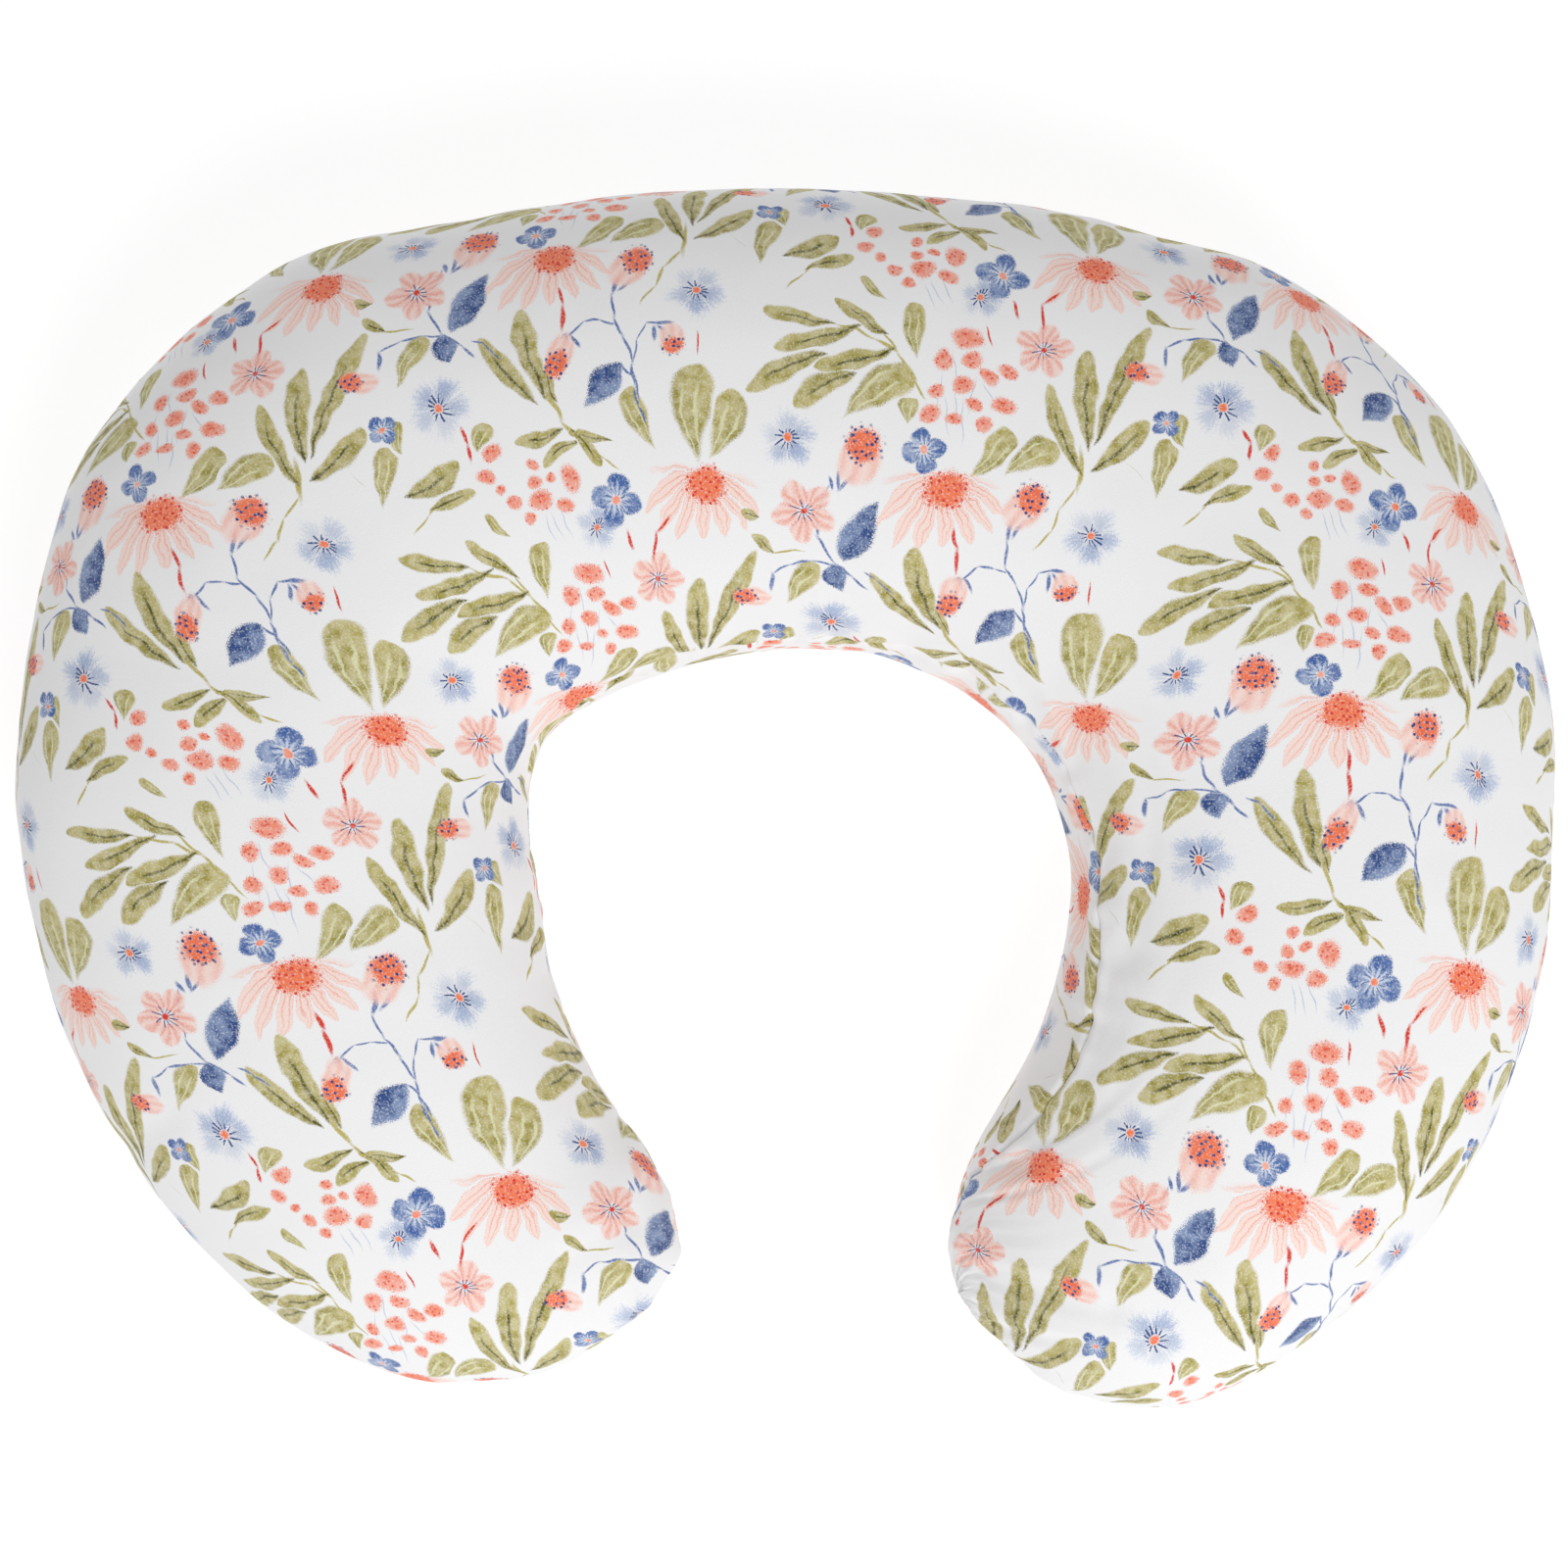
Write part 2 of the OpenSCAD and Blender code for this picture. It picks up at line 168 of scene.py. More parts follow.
def bumps(x, y, seed, size=64):
    """Smooth value noise in two directions, from -1 to 1."""
    table = np.random.RandomState(seed).rand(size, size) * 2 - 1
    i, j = np.floor(x).astype(int), np.floor(y).astype(int)
    f, g = smooth(x - i), smooth(y - j)
    at = lambda a, b: table[a % size, b % size]
    low = at(i, j) * (1 - f) + at(i + 1, j) * f
    high = at(i, j + 1) * (1 - f) + at(i + 1, j + 1) * f
    return low * (1 - g) + high * g


def lengths(points, axis):
    """Distance run along the rows or columns of a grid."""
    step = np.linalg.norm(np.diff(points, axis=axis), axis=-1)
    return np.concatenate([np.zeros_like(np.take(step, [0], axis)), np.cumsum(step, axis)], axis)


def normals_of(p):
    """Outward normals of a grid whose rows run along the C and columns round the section."""
    n = unit(np.cross(np.gradient(p, axis=1), np.gradient(p, axis=0)))
    return n * np.sign(((p - p.mean(1, keepdims=True)) * n).sum(-1, keepdims=True).mean())


def crease(xy, a, b, width):
    """1 on the line from a to b in plan, falling to 0 at that width."""
    a, b = np.array(a, float), np.array(b, float)
    f = np.clip(((xy - a) @ (b - a)) / ((b - a) @ (b - a)), 0, 1)
    d = np.linalg.norm(xy - (a + f[..., None] * (b - a)), axis=-1)
    return np.exp(-((d / width) ** 2))


rows_n, columns_n = ((760, 128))
tip_margin = 0.06  # stations left off at each tip
seam_gap = 0.12  # mm from a panel's edge to its seam
zip_ease = 0.12  # stations over which the cover opens at the zip's ends
crowding = 0.55  # how much closer the columns lie near the edges
least_half = 4  # mm: half-height that sets the gap's angle where the tips are thinner


def panel(upper, depth, rows=rows_n, columns=columns_n, in_cover=True):
    """Grid of one panel: its stations s and points p, its arc length out from the crown and along
    the C, its distance from the zip's side and the inner seam, and where it is open for the zip."""
    s = np.linspace(tip_margin, last - tip_margin, rows)
    if in_cover:
        first, second = outer_seam(s), inner_seam(s)
        in_zip = smooth((zip_steps + zip_ease - np.abs(s - back)) / zip_ease)
    else:
        first, second, in_zip = np.zeros(rows), np.full(rows, math.pi), np.zeros(rows)
    half = np.maximum(heights_at(s)[:, 0], least_half)
    outer_gap = (seam_gap + (slot_w / 2 - seam_gap) * in_zip) / half
    inner_gap = seam_gap / half
    if upper:
        t0, t1 = first + outer_gap, second - inner_gap
    else:
        t0, t1 = second + inner_gap, math.tau + first - outer_gap
    k = np.linspace(0, 1, columns)
    k = k - crowding * np.sin(math.tau * k) / math.tau
    t = t0[:, None] + (t1 - t0)[:, None] * k
    p = body(s, t, depth)
    across = lengths(p, 1)
    crown = math.pi / 2 if upper else 1.5 * math.pi
    top = np.array([np.interp(crown, t[i], across[i]) for i in range(rows)])[:, None]
    sides = [across, across[:, -1:] - across]
    zip_side, seam_side = sides if upper else sides[::-1]
    out = (top - across) if upper else (across - top)
    return SimpleNamespace(s=s, p=p, out=out, along=lengths(p, 0), zip_side=zip_side,
                           seam_side=seam_side, in_zip=in_zip[:, None])


def linked(name, data):
    """A new object in the scene."""
    obj = bpy.data.objects.new(name, data)
    scene.collection.objects.link(obj)
    return obj


def grid_mesh(name, p, tips=None):
    """Mesh of a grid of points in millimetres. Where two tips are given, its rows are rings and the
    tips close its ends."""
    rows, columns = p.shape[:2]
    verts = (p.reshape(-1, 3) * MM).tolist()
    i = np.arange(rows - 1)[:, None] * columns + np.arange(columns - 1)[None]
    faces = np.stack([i, i + 1, i + 1 + columns, i + columns], -1).reshape(-1, 4).tolist()
    if tips is not None:
        j = np.arange(rows - 1) * columns
        faces += np.stack([j + columns - 1, j, j + columns, j + 2 * columns - 1], -1).tolist()
        tip, end = len(verts), (rows - 1) * columns
        verts += (np.array(tips) * MM).tolist()
        faces += [[tip, k + 1, k] for k in range(columns - 1)]
        faces += [[tip + 1, end + k, end + k + 1] for k in range(columns - 1)]
        faces += [[tip, 0, columns - 1], [tip + 1, end + columns - 1, end]]
    mesh = bpy.data.meshes.new(name)
    mesh.from_pydata(verts, [], faces)
    mesh.validate()
    mesh.polygons.foreach_set("use_smooth", [True] * len(mesh.polygons))
    return linked(name, mesh)


# ------------------------------------------------------------------ print ---
# The print repeats in columns with a half drop. Its coneflowers, as they lie on the pillow in plan,
# tie the flat print to the stuffed cover: kind, column, row, then x and y.
print_w, print_h, print_skew = 119.0, 147.9, -7.8
flower_b, flower_a = np.array([-23.0, 100.8]), np.array([-76.1, 174.8])
cloth_stretch = 0.94  # flat cloth to stuffed cover
# How the print turns along the C: stations, and radians there.
twist_at = [0, 3, 6, 8.5, 12, 15.5, 18, 21, 25]
twist = [0.11, -0.07, -0.25, -0.10, 0, 0.04, 0.14, 0.12, 0.03]
flowers_lie = [
    ("b", 0, 0, -26, 100), ("b", 1, 0, 99, 170), ("b", 2, -1, 219, 94), ("b", 1, -1, 98, 26),
    ("b", 1, -2, 84, -120), ("b", 2, -2, 218, -58), ("b", -1, 1, -150, 164), ("b", -1, 0, -128, 22),
    ("b", -1, -1, -88, -126), ("b", -2, 0, -228, -65), ("a", 0, 0, -74, 173), ("a", 1, -1, 51, 97),
    ("a", -1, 0, -202, 91), ("a", 2, -1, 169, 163), ("a", 2, -2, 175, 27), ("a", -1, -1, -157, -58),
    ("a", 2, -3, 159, -131),
]


def turned(v, a):
    c, s = np.cos(a), np.sin(a)
    return np.stack([v[..., 0] * c - v[..., 1] * s, v[..., 0] * s + v[..., 1] * c], -1)


def flat_print(s, out):
    """Where each point of a panel lies on the flat cloth, before the flowers are tied down."""
    fine = np.linspace(0.02, last - 0.02, 1201)
    outer, inner = edge(fine, 0), edge(2 * last - fine, 0)
    centre, across = (outer + inner) / 2, unit(outer - inner)
    angle = np.interp(fine, twist_at, twist)
    steps = turned(np.diff(centre, axis=0), angle[:-1])
    line = np.concatenate([np.zeros((1, 2)), np.cumsum(steps, 0)])
    mid = np.argmin(abs(fine - back))
    line += centre[mid] - line[mid]
    across = turned(across, angle)
    at = lambda v: np.stack([np.interp(s, fine, v[:, k]) for k in (0, 1)], -1)
    return at(line)[:, None] + at(across)[:, None] * (out * cloth_stretch)[..., None]


def kernel(r):
    """Bending of a thin plate at a distance from a load."""
    return np.where(r > 0, r * r * np.log(np.maximum(r, 1e-9)), 0)


def tie_down(cloth, plan):
    """A smooth correction of the cloth coordinates, so that each coneflower lies where it does."""
    unit_mm, give = 100, 0.02  # length that the plate is measured in, and its looseness
    source, target = [], []
    for kind, c, m, x, y in flowers_lie:
        away = np.hypot(plan[..., 0] - x, plan[..., 1] - y)
        source.append(cloth[np.unravel_index(np.argmin(away), away.shape)])
        start = flower_b if kind == "b" else flower_a
        target.append(start + (c * print_w + m * print_skew, (c / 2 + m) * print_h))
    source, target = np.array(source), np.array(target)
    n = len(source)
    k = kernel(np.linalg.norm(source[:, None] - source[None], axis=-1) / unit_mm) + give * np.eye(n)
    side = np.c_[np.ones(n), source / unit_mm]
    system = np.block([[k, side], [side.T, np.zeros((3, 3))]])
    weights = np.linalg.solve(system, np.r_[target - source, np.zeros((3, 2))])

    def moved(uv):
        r = np.linalg.norm(uv[..., None, :] - source, axis=-1) / unit_mm
        return uv + kernel(r) @ weights[:n] + weights[n] + (uv / unit_mm) @ weights[n + 1:]

    return moved


def set_print(obj, first, second, cut):
    """Gives a grid its place on the flat print, in millimetres from a coneflower: faces up to the
    column cut take it from the first array, the others from the second."""
    columns = first.shape[1]
    corner = np.zeros(len(obj.data.loops), int)
    obj.data.loops.foreach_get("vertex_index", corner)
    quads = (corner % columns).reshape(-1, 4)
    in_first = np.repeat(quads.min(1) < cut, 4)[:, None]
    rel = np.where(in_first, first.reshape(-1, 2)[corner], second.reshape(-1, 2)[corner]) - flower_b
    rel = np.c_[rel[:, 0] - print_skew / print_h * rel[:, 1], rel[:, 1], np.ones(len(rel))]
    layer = obj.data.attributes.new("cloth_mm", "FLOAT_VECTOR", "CORNER")
    layer.data.foreach_set("vector", rel.astype(np.float32).ravel())


# The motifs of one repeat, in millimetres from a coneflower's dome on the flat print.
# Leaves: base, tip (x and y of each), full width (negative bends the other way).
ribbed_leaves = [
    (37, 51, 16, 55, 5), (45, 50, 20, 43, 5.5), (35, 42, 12, 30, -7), (44, 36, 26, 26, -7.5),
    (56, 43, 31, 37, 6), (53, 48, 38, 59, 4.5), (-5, -68, -15, -41, 5.5), (-3, -60, -3, -30, 7.5),
    (-1, -58, 16, -21, 6.5), (0, -67, 17, -52, -7), (28, -74, 45, -65, -7.5),
    (35, -78, 50, -73, 4.5), (-56, 26, -74, 47, 6), (-54, 28, -62, 56, 7.5), (-50, 26, -53, 38, 4),
    (-47, 18, -62, 14, 4.5), (-42, 15, -54, 8, -4.5), (-44, 18, -35, 7, 4), (-31, 14, -45, 17, 3),
    (17, -9, 11, -8, 3.5), (22, -20, 15, -15, 3.5),
]
veined_leaves = [
    (-4, 8, -5, 36, 12), (1, 8, 9, 28, -10), (-18, 12, -26, 29, 7), (41, 23, 61, 37, 10),
    (-38, -69, -26, -55, -8), (-28, -67, -12, -59, 8.5), (20, -76, 24, -58, 6.5),
    (27, -60, 26, -50, 5), (51, -61, 55, -53, 6), (26, -38, 35, -24, 7), (-57, -33, -57, -16, 6.5),
    (52, 60, 45, 67, 3), (-59, -53, -57, -45, 5), (10, -63, 16, -70, 0.1),
]
blue_leaves = [
    (-28, 37, -40, 25, 8.5), (43, -22, 53, -3, 9), (40, -24, 43, -33, 7),
]
# Strokes: width, then the points they run through.
olive_stems = [
    (1.1, (62, 34), (57, 42), (50, 47), (38, 51)), (0.9, (57, 42), (52, 49)),
    (0.9, (55, 43), (42, 40)), (2.0, (-4, -60), (-4, -73)),
    (1.0, (-4, -72), (-9, -78), (-11, -85), (-16, -91)), (1.5, (-53, 30), (-47, 20), (-41, 14)),
    (0.9, (-41, 14), (-34, 9), (-29, 6)), (0.9, (22, 63), (27, 68), (30, 72)),
    (0.8, (21, -20), (31, -20)), (0.9, (62, 34), (66, 28)),
]
blue_stems = [
    (1.0, (-33, 60), (-32, 52), (-28, 46), (-25, 38), (-24, 30), (-22, 24), (-20, 19)),
    (0.8, (-31, 50), (-36, 51), (-41, 51), (-46, 47)),
    (0.8, (-25, 38), (-24, 45), (-21, 50), (-16, 50)), (0.9, (-28, 37), (-24, 33), (-22, 27)),
    (1.1, (38, 1), (35.5, -7), (35.5, -15), (40, -23), (47, -28), (51, -32)),
    (0.8, (21, -27), (27, -24), (34, -23), (41, -24)), (0.8, (50, -26), (54, -28), (59, -33)),
    (1.7, (-33, 60), (-31, 67)), (1.7, (-31, 61), (-27, 66)), (1.4, (-46, 48), (-49, 46)),
    (1.6, (-46, 48), (-46, 43)), (1.4, (-45, 48), (-42, 43)), (1.6, (-18, 49), (-18, 44)),
    (1.5, (-18, 50), (-13, 50)), (1.4, (-17, 49), (-14, 46)), (1.5, (41, 0), (41, 6)),
    (1.5, (41, 0), (46, 5)), (1.4, (39, 0), (38, 4)), (1.5, (21, -27), (21, -33)),
]
red_strokes = [
    (1.6, (-50, 63), (-48.5, 57), (-48, 49)), (0.8, (-5, 47), (-4.6, 40)),
    (0.8, (-35, -22), (-33.5, -28)), (1.3, (47, -54), (49, -59), (49, -64)),
    (1.5, (-27, -13), (-25, -19)), (1.2, (-12, -9), (-17, -14), (-18, -22)),
]
grey_strokes = [
    (0.55, (-52, -7), (-49, -15)), (0.55, (-54, -8), (-52, -16)), (0.5, (-49, -6), (-46, -15)),
    (0.55, (-44, -43), (-43, -53)), (0.5, (-47, -44), (-46, -56)), (0.55, (-41, -46), (-42, -59)),
    (0.5, (-45, -30), (-44, -40)), (0.5, (-38, -38), (-40, -50)), (0.5, (-48, -37), (-50, -48)),
    (0.5, (-36, -40), (-32, -46)),
]
# Berries: centre, half-widths, tilt in degrees.
berries = [
    (-41, -26, 4.6, 3.2, -10), (-39, -33, 3.1, 2.3, -5), (-48, -33, 2.6, 3.1, 0),
    (-34, -38, 3.2, 2.0, -40), (-28, -36.5, 3.1, 2.2, -15), (-42, -41, 3.0, 2.6, 10),
    (-50, -43, 2.3, 2.3, 0), (-38, -47, 2.4, 1.7, -20), (-29, -47, 3.6, 2.6, -10),
    (-52, -50, 3.2, 2.2, 25), (-44, -51, 2.8, 1.6, 0), (-35, -53, 2.1, 2.5, 0),
    (-57, 8, 1.7, 1.7, 0), (-57, 2.5, 2.1, 1.9, 0), (-52, 4, 1.7, 1.5, 0), (-45, 3, 3.0, 3.8, 15),
    (-55, -3, 3.8, 2.8, 0), (-47, -5, 2.7, 2.3, 0), (-59.5, -8, 2.0, 1.8, 0),
    (-70.5, 12, 2.8, 2.4, 30), (-73, 5, 2.6, 2.2, 0), (-68.5, 1, 1.8, 1.6, 0),
    (-64, -3.5, 2.3, 2.0, 0),
]
# Flowers: centre, size, turn in degrees.
coneflowers = [(0, 0, 1.0, 0), (-53, 74.5, 1.06, 6)]
mist_flowers = [(-6, 61, 1.0, 0), (25, 15, 0.95, 40), (-37, -12, 0.8, 100), (40, -47, 1.12, 160)]
pansies = [(-30, -4, 1.25, 12), (-53, -61, 1.0, 40), (22, -52, 0.72, 70)]
pink_flowers = [(31, -7, 1.1, 10), (-17, -29, 1.0, 40)]
# Buds: centre, half-length, half-width, direction that the seeded end points to.
buds = [
    (-28, 70, 8.5, 6.2, 50), (-48.5, 41, 8.0, 4.6, -112), (-12.5, 45, 5.2, 4.3, -80),
    (47, 10, 9.5, 7.0, 75), (15, -36, 6.4, 4.0, 172),
]
# Inks, as sRGB codes.
ink = {
    "cloth": "f3f3f4", "olive": "c0b468", "olive_deep": "9c9240", "rib": "4d4c1c", "vein": "e6e6bd",
    "coral": "f67f57", "coral_deep": "dd4a34", "petal": "f8b6a4", "petal_pale": "fbe2d9",
    "petal_deep": "f08f78", "blue": "3c62a5", "blue_deep": "2b4a86", "blue_pale": "adc0e0",
    "blue_mist": "cbd7ea", "navy": "27407f", "stem": "7c8cba", "red": "dc3c28", "grey": "b5c2de",
}


def linear(hex_, gain=1.0):
    """Linear colour of an sRGB hex code."""
    c = np.array([int(hex_[i:i + 2], 16) / 255 for i in (0, 2, 4)])
    return tuple(np.where(c <= 0.04045, c / 12.92, ((c + 0.055) / 1.055) ** 2.4) * gain)


class Nodes:
    """A new material, and short names for making its nodes in the order they are worked out."""

    def __init__(self, name):
        self.material = bpy.data.materials.new(name)
        self.material.use_nodes = True
        self.tree = self.material.node_tree
        self.tree.nodes.clear()
        self.count = 0

    def new(self, kind, **values):
        """Adds a node. A value whose name starts with a capital goes to that input."""
        node = self.tree.nodes.new("ShaderNode" + kind)
        self.count += 1
        node.location = (self.count % 40 * 180, -(self.count // 40) * 200)
        for name, value in values.items():
            if name[0].isupper():
                self.put(node.inputs[name.replace("_", " ")], value)
            else:
                setattr(node, name, value)
        return node

    def put(self, socket, value):
        if isinstance(value, bpy.types.NodeSocket):
            self.tree.links.new(value, socket)
        elif value is not None:
            socket.default_value = value

    def feed(self, node, values, output=0):
        for socket, value in zip(node.inputs, values):
            self.put(socket, value)
        return node.outputs[output]

    def math(self, operation, *values, clamp=False):
        return self.feed(self.new("Math", operation=operation, use_clamp=clamp), values)

    def vector(self, operation, *values):
        output = "Value" if operation in ("DOT_PRODUCT", "LENGTH") else "Vector"
        return self.feed(self.new("VectorMath", operation=operation), values, output)

    def mix(self, factor, a, b):
        node = self.new("Mix", data_type="VECTOR", clamp_factor=False)
        for socket, value in ((0, factor), (4, a), (5, b)):  # 4 and 5 are the vector inputs
            self.put(node.inputs[socket], value)
        return node.outputs[1]

    def join(self, x, y, z=0.0):
        return self.feed(self.new("CombineXYZ"), (x, y, z))

    def part(self, v, axis):
        return self.vector("DOT_PRODUCT", v, ((1, 0, 0), (0, 1, 0))[axis])

    def noise(self, v, scale, detail=0.0, dimensions="2D"):
        return self.new("TexNoise", noise_dimensions=dimensions, Vector=v, Scale=scale,
                        Detail=detail).outputs["Fac"]

    def object_place(self):
        """Place in the frame, in metres."""
        return self.new("TexCoord").outputs["Object"]


half_col = print_w - print_skew / 2  # width of a column once the skew is taken out


def print_colour(n, cloth):
    """Nodes that give the print's colour at a place on the flat cloth, in millimetres."""
    vec, mix, join, part = n.vector, n.mix, n.join, n.part
    mad, mul, add, sub, div, least, most, power_of, absolute, sine, cosine = (
        partial(n.math, operation) for operation in (
            "MULTIPLY_ADD", "MULTIPLY", "ADD", "SUBTRACT", "DIVIDE", "MINIMUM", "MAXIMUM", "POWER",
            "ABSOLUTE", "SINE", "COSINE"))
    dot, length = partial(vec, "DOT_PRODUCT"), partial(vec, "LENGTH")
    wobble_scale, wobble_mm = 0.16, 1.7  # how finely outlines wander, and over what width
    wobble_x = n.noise(cloth, wobble_scale)
    wobble_y = n.noise(vec("ADD", cloth, (57.0, 31.0, 0.0)), wobble_scale)
    speckle = n.noise(cloth, 2.6)
    stipple = n.noise(vec("ADD", cloth, (13.0, 77.0, 0.0)), 1.5)
    wash = n.noise(cloth, 0.28, 2.0)
    seeds = n.new("TexVoronoi", voronoi_dimensions="2D", feature="F1", Vector=cloth, Scale=0.44,
                  Randomness=0.85).outputs["Distance"]
    shift = join(*(mad(wobble, wobble_mm, -wobble_mm / 2) for wobble in (wobble_x, wobble_y)))
    cloth = vec("ADD", cloth, shift)
    grain = mad(speckle, 2.4, -1.2)  # about -1 to 1

    # Four views of the same repeat, centred so that every motif is whole in one of them.
    centres = [(0, 0), (half_col / 2, print_h / 4), (0, print_h / 2), (half_col / 2, -print_h / 4)]
    views = []
    for cx, cy in centres:
        x = add(part(cloth, 0), -cx)
        y = add(part(cloth, 1), -cy)
        column = n.math("FLOOR", mad(x, 1 / half_col, 0.5))
        x = mad(column, -half_col, x)
        y = mad(column, -print_h / 2, y)
        row = n.math("FLOOR", mad(y, 1 / print_h, 0.5))
        y = mad(row, -print_h, y)
        views.append(join(x, y, 1.0))

    def home(x, y):
        """The view in which a point is nearest the middle, and its place there."""
        best = None
        for i, (cx, cy) in enumerate(centres):
            dx, dy = x - cx, y - cy
            c = math.floor(dx / half_col + 0.5)
            dx, dy = dx - c * half_col, dy - c * print_h / 2
            dy -= math.floor(dy / print_h + 0.5) * print_h
            far = max(abs(dx) / half_col, abs(dy) / print_h)
            if best is None or far < best[0]:
                best = (far, i, dx, dy)
        return best[1:]

    def frame_of(x, y, angle, a, b):
        """View and the two rows that turn a place into a motif's own coordinates."""
        i, cx, cy = home(x - print_skew / print_h * y, y)
        c, s = math.cos(angle), math.sin(angle)
        return (views[i], (c / a, s / a, -(cx * c + cy * s) / a),
                (-s / b, c / b, (cx * s - cy * c) / b))

    def nearest(frames):
        """Own coordinates in whichever motif is nearest, and the square of their length."""
        best = None
        for view, row_x, row_y in frames:
            v = join(dot(view, row_x), dot(view, row_y))
            d = dot(v, v)
            if best is None:
                own, best = v, d
            else:
                own = mix(n.math("LESS_THAN", d, best), own, v)
                best = least(d, best)
        return own, best

    def along_line(start, end, length_share, half_width):
        """Frame of a motif that lies along a line."""
        (x0, y0), (x1, y1) = start, end
        return frame_of((x0 + x1) / 2, (y0 + y1) / 2, math.atan2(y1 - y0, x1 - x0),
                        math.hypot(x1 - x0, y1 - y0) * length_share, half_width)

    def flowers(places):
        return nearest([frame_of(x, y, math.radians(a), k, k) for x, y, k, a in places])[0]

    def ovals(places, grown=1.0):
        """The same for motifs with two half-widths, and the square of the distance."""
        return nearest([frame_of(x, y, math.radians(a), p * grown, q * grown)
                        for x, y, p, q, a in places])

    def along_across(own):
        return part(own, 0), part(own, 1)

    def in_leaves(leaves):
        """Place along and across the nearest leaf."""
        frames = [along_line(row[:2], row[2:4], 0.55, row[4] * 0.62) for row in leaves]
        return along_across(nearest(frames)[0])

    def worn(value, gain, grain_share, offset):
        """A ramp from 0 to 1, roughened by the grain of the ink."""
        return mad(value, gain, mad(grain, grain_share, offset), clamp=True)

    def strokes(groups, softness=2.2):
        """Cover of thin tapered strokes."""
        best = None
        for width, *points in groups:
            for start, end in zip(points, points[1:]):
                view, row_x, row_y = along_line(start, end, 0.62, width * 0.55)
                d = length(join(dot(view, row_x), dot(view, row_y)))
                best = d if best is None else least(d, best)
        return worn(best, -softness, 0.35, softness)

    def petals(own, count, turn=0.0):
        """Distance from a flower's middle, angle off the nearest petal, its number, the angle."""
        r = length(own)
        angle = add(n.math("ARCTAN2", part(own, 0), mul(part(own, 1), -1.0)), turn)
        number = n.math("ROUND", mul(angle, count / math.tau))
        off = mad(number, -math.tau / count, angle)
        return r, off, number, angle

    def spread(number, low, high, seed):
        """A value that differs from petal to petal."""
        s = sine(mad(number, 12.99, seed))
        return mad(s, (high - low) / 2, (high + low) / 2)

    def from_petal(r, off, middle, widen=1):
        """Distance from the middle of the nearest petal."""
        return length(join(mad(cosine(off), r, -middle),
                           mul(sine(off), r if widen == 1 else mul(r, widen))))

    def over(colour, cover, name_a, name_b=None, tone=None):
        """Lays an ink, or a tone between two, over the colour so far."""
        inked = linear(ink[name_a])
        return mix(cover, colour, mix(tone, inked, linear(ink[name_b])) if name_b else inked)

    def stamens(own, r, count, low, high, width):
        """Short strokes round the middle of a flower."""
        off, number = petals(own, count, 0.4)[1:3]
        bend = mad(spread(number, -0.10, 0.10, 5.0), r, off)
        side = mul(absolute(bend), r)
        end = spread(number, high * 0.55, high * 1.1, 2.0)
        inside = least(sub(end, r), add(r, -low))
        inside = least(inside, sub(width, side))
        return mul(inside, 4.0, clamp=True)

    colour = linear(ink["cloth"])
    tone = mad(wash, 2.6, -0.8, clamp=True)
    thin = mad(tone, 0.20, 0.80)  # how strongly a wash of ink covers the cloth
    colour = over(colour, mul(strokes(grey_strokes, 1.6), 0.75), "grey")

    # Misty light-blue flowers.
    own = flowers(mist_flowers)
    r, off, number, angle = petals(own, 5)
    strong = mad(cosine(angle), 0.22, spread(number, 0.35, 0.80, 1.0))
    petal = mad(wash, 3.0, mad(from_petal(r, off, 5.0), -1.0, 2.7))
    streak = sine(mad(angle, 29.0, mul(wash, 9.0)))
    fade = mad(petal, 0.34, mad(grain, 0.60, mul(streak, 0.18)))
    fade = mul(least(fade, 0.85), strong, clamp=True)
    colour = over(colour, fade, "blue_pale", "blue", mad(r, -0.085, 0.72, clamp=True))
    colour = over(colour, stamens(own, r, 12, 1.4, 4.9, 0.42), "blue_deep")
    colour = over(colour, worn(r, -2.0, 0.5, 3.0), "coral")

    # Coneflowers: drooping petals of two or three veins each, under a seeded dome.
    x, y = along_across(flowers(coneflowers))
    hang = mad(mul(x, x), 0.028, mad(wash, 1.6, add(y, -5.3)))
    hung = join(mad(wash, 1.4, mad(x, 1.16, -0.7)), hang)
    r, off, number, angle = petals(hung, 13, 0.12)
    along = div(r, spread(number, 20.0, 26.5, 4.0))
    side = mul(off, r)
    swell = sub(1.0, power_of(along, 6.0))
    width = mul(least(mul(r, 0.225), spread(number, 3.9, 4.9, 0.5)), swell)
    inside = sub(width, absolute(side))
    cover = worn(inside, 1.9, 0.45, 0.10)
    lower = mad(absolute(angle), -6.0, 11.4, clamp=True)
    cover = mul(cover, mul(lower, 0.95))
    stripe = div(side, most(width, 0.8))
    stripe = mad(stripe, 8.2, mad(wash, 3.0, spread(number, -0.9, 0.9, 1.3)))
    edge_tone = mad(inside, -1.2, 0.80, clamp=True)
    stripe = most(mad(cosine(stripe), 1.1, -0.35), edge_tone)
    stripe = mad(grain, 0.40, mad(stripe, 0.90, -0.02), clamp=True)
    colour = over(colour, cover, "petal_pale", "petal", stripe)
    deep = mul(mad(r, -0.14, 2.40, clamp=True), mul(cover, stripe))
    colour = over(colour, mul(deep, 0.75), "petal_deep")
    dome = length(join(mul(x, 1 / 6.9), mad(y, 1 / 5.9, -0.08)))
    cover = worn(dome, -5.0, 1.3, 4.9)
    colour = over(colour, cover, "coral", "coral_deep", mad(tone, 0.15, -0.05, clamp=True))
    dots = mad(seeds, -10.0, 2.7, clamp=True)
    dots = mul(dots, mad(dome, -4.0, 4.7, clamp=True))
    colour = over(colour, dots, "red")

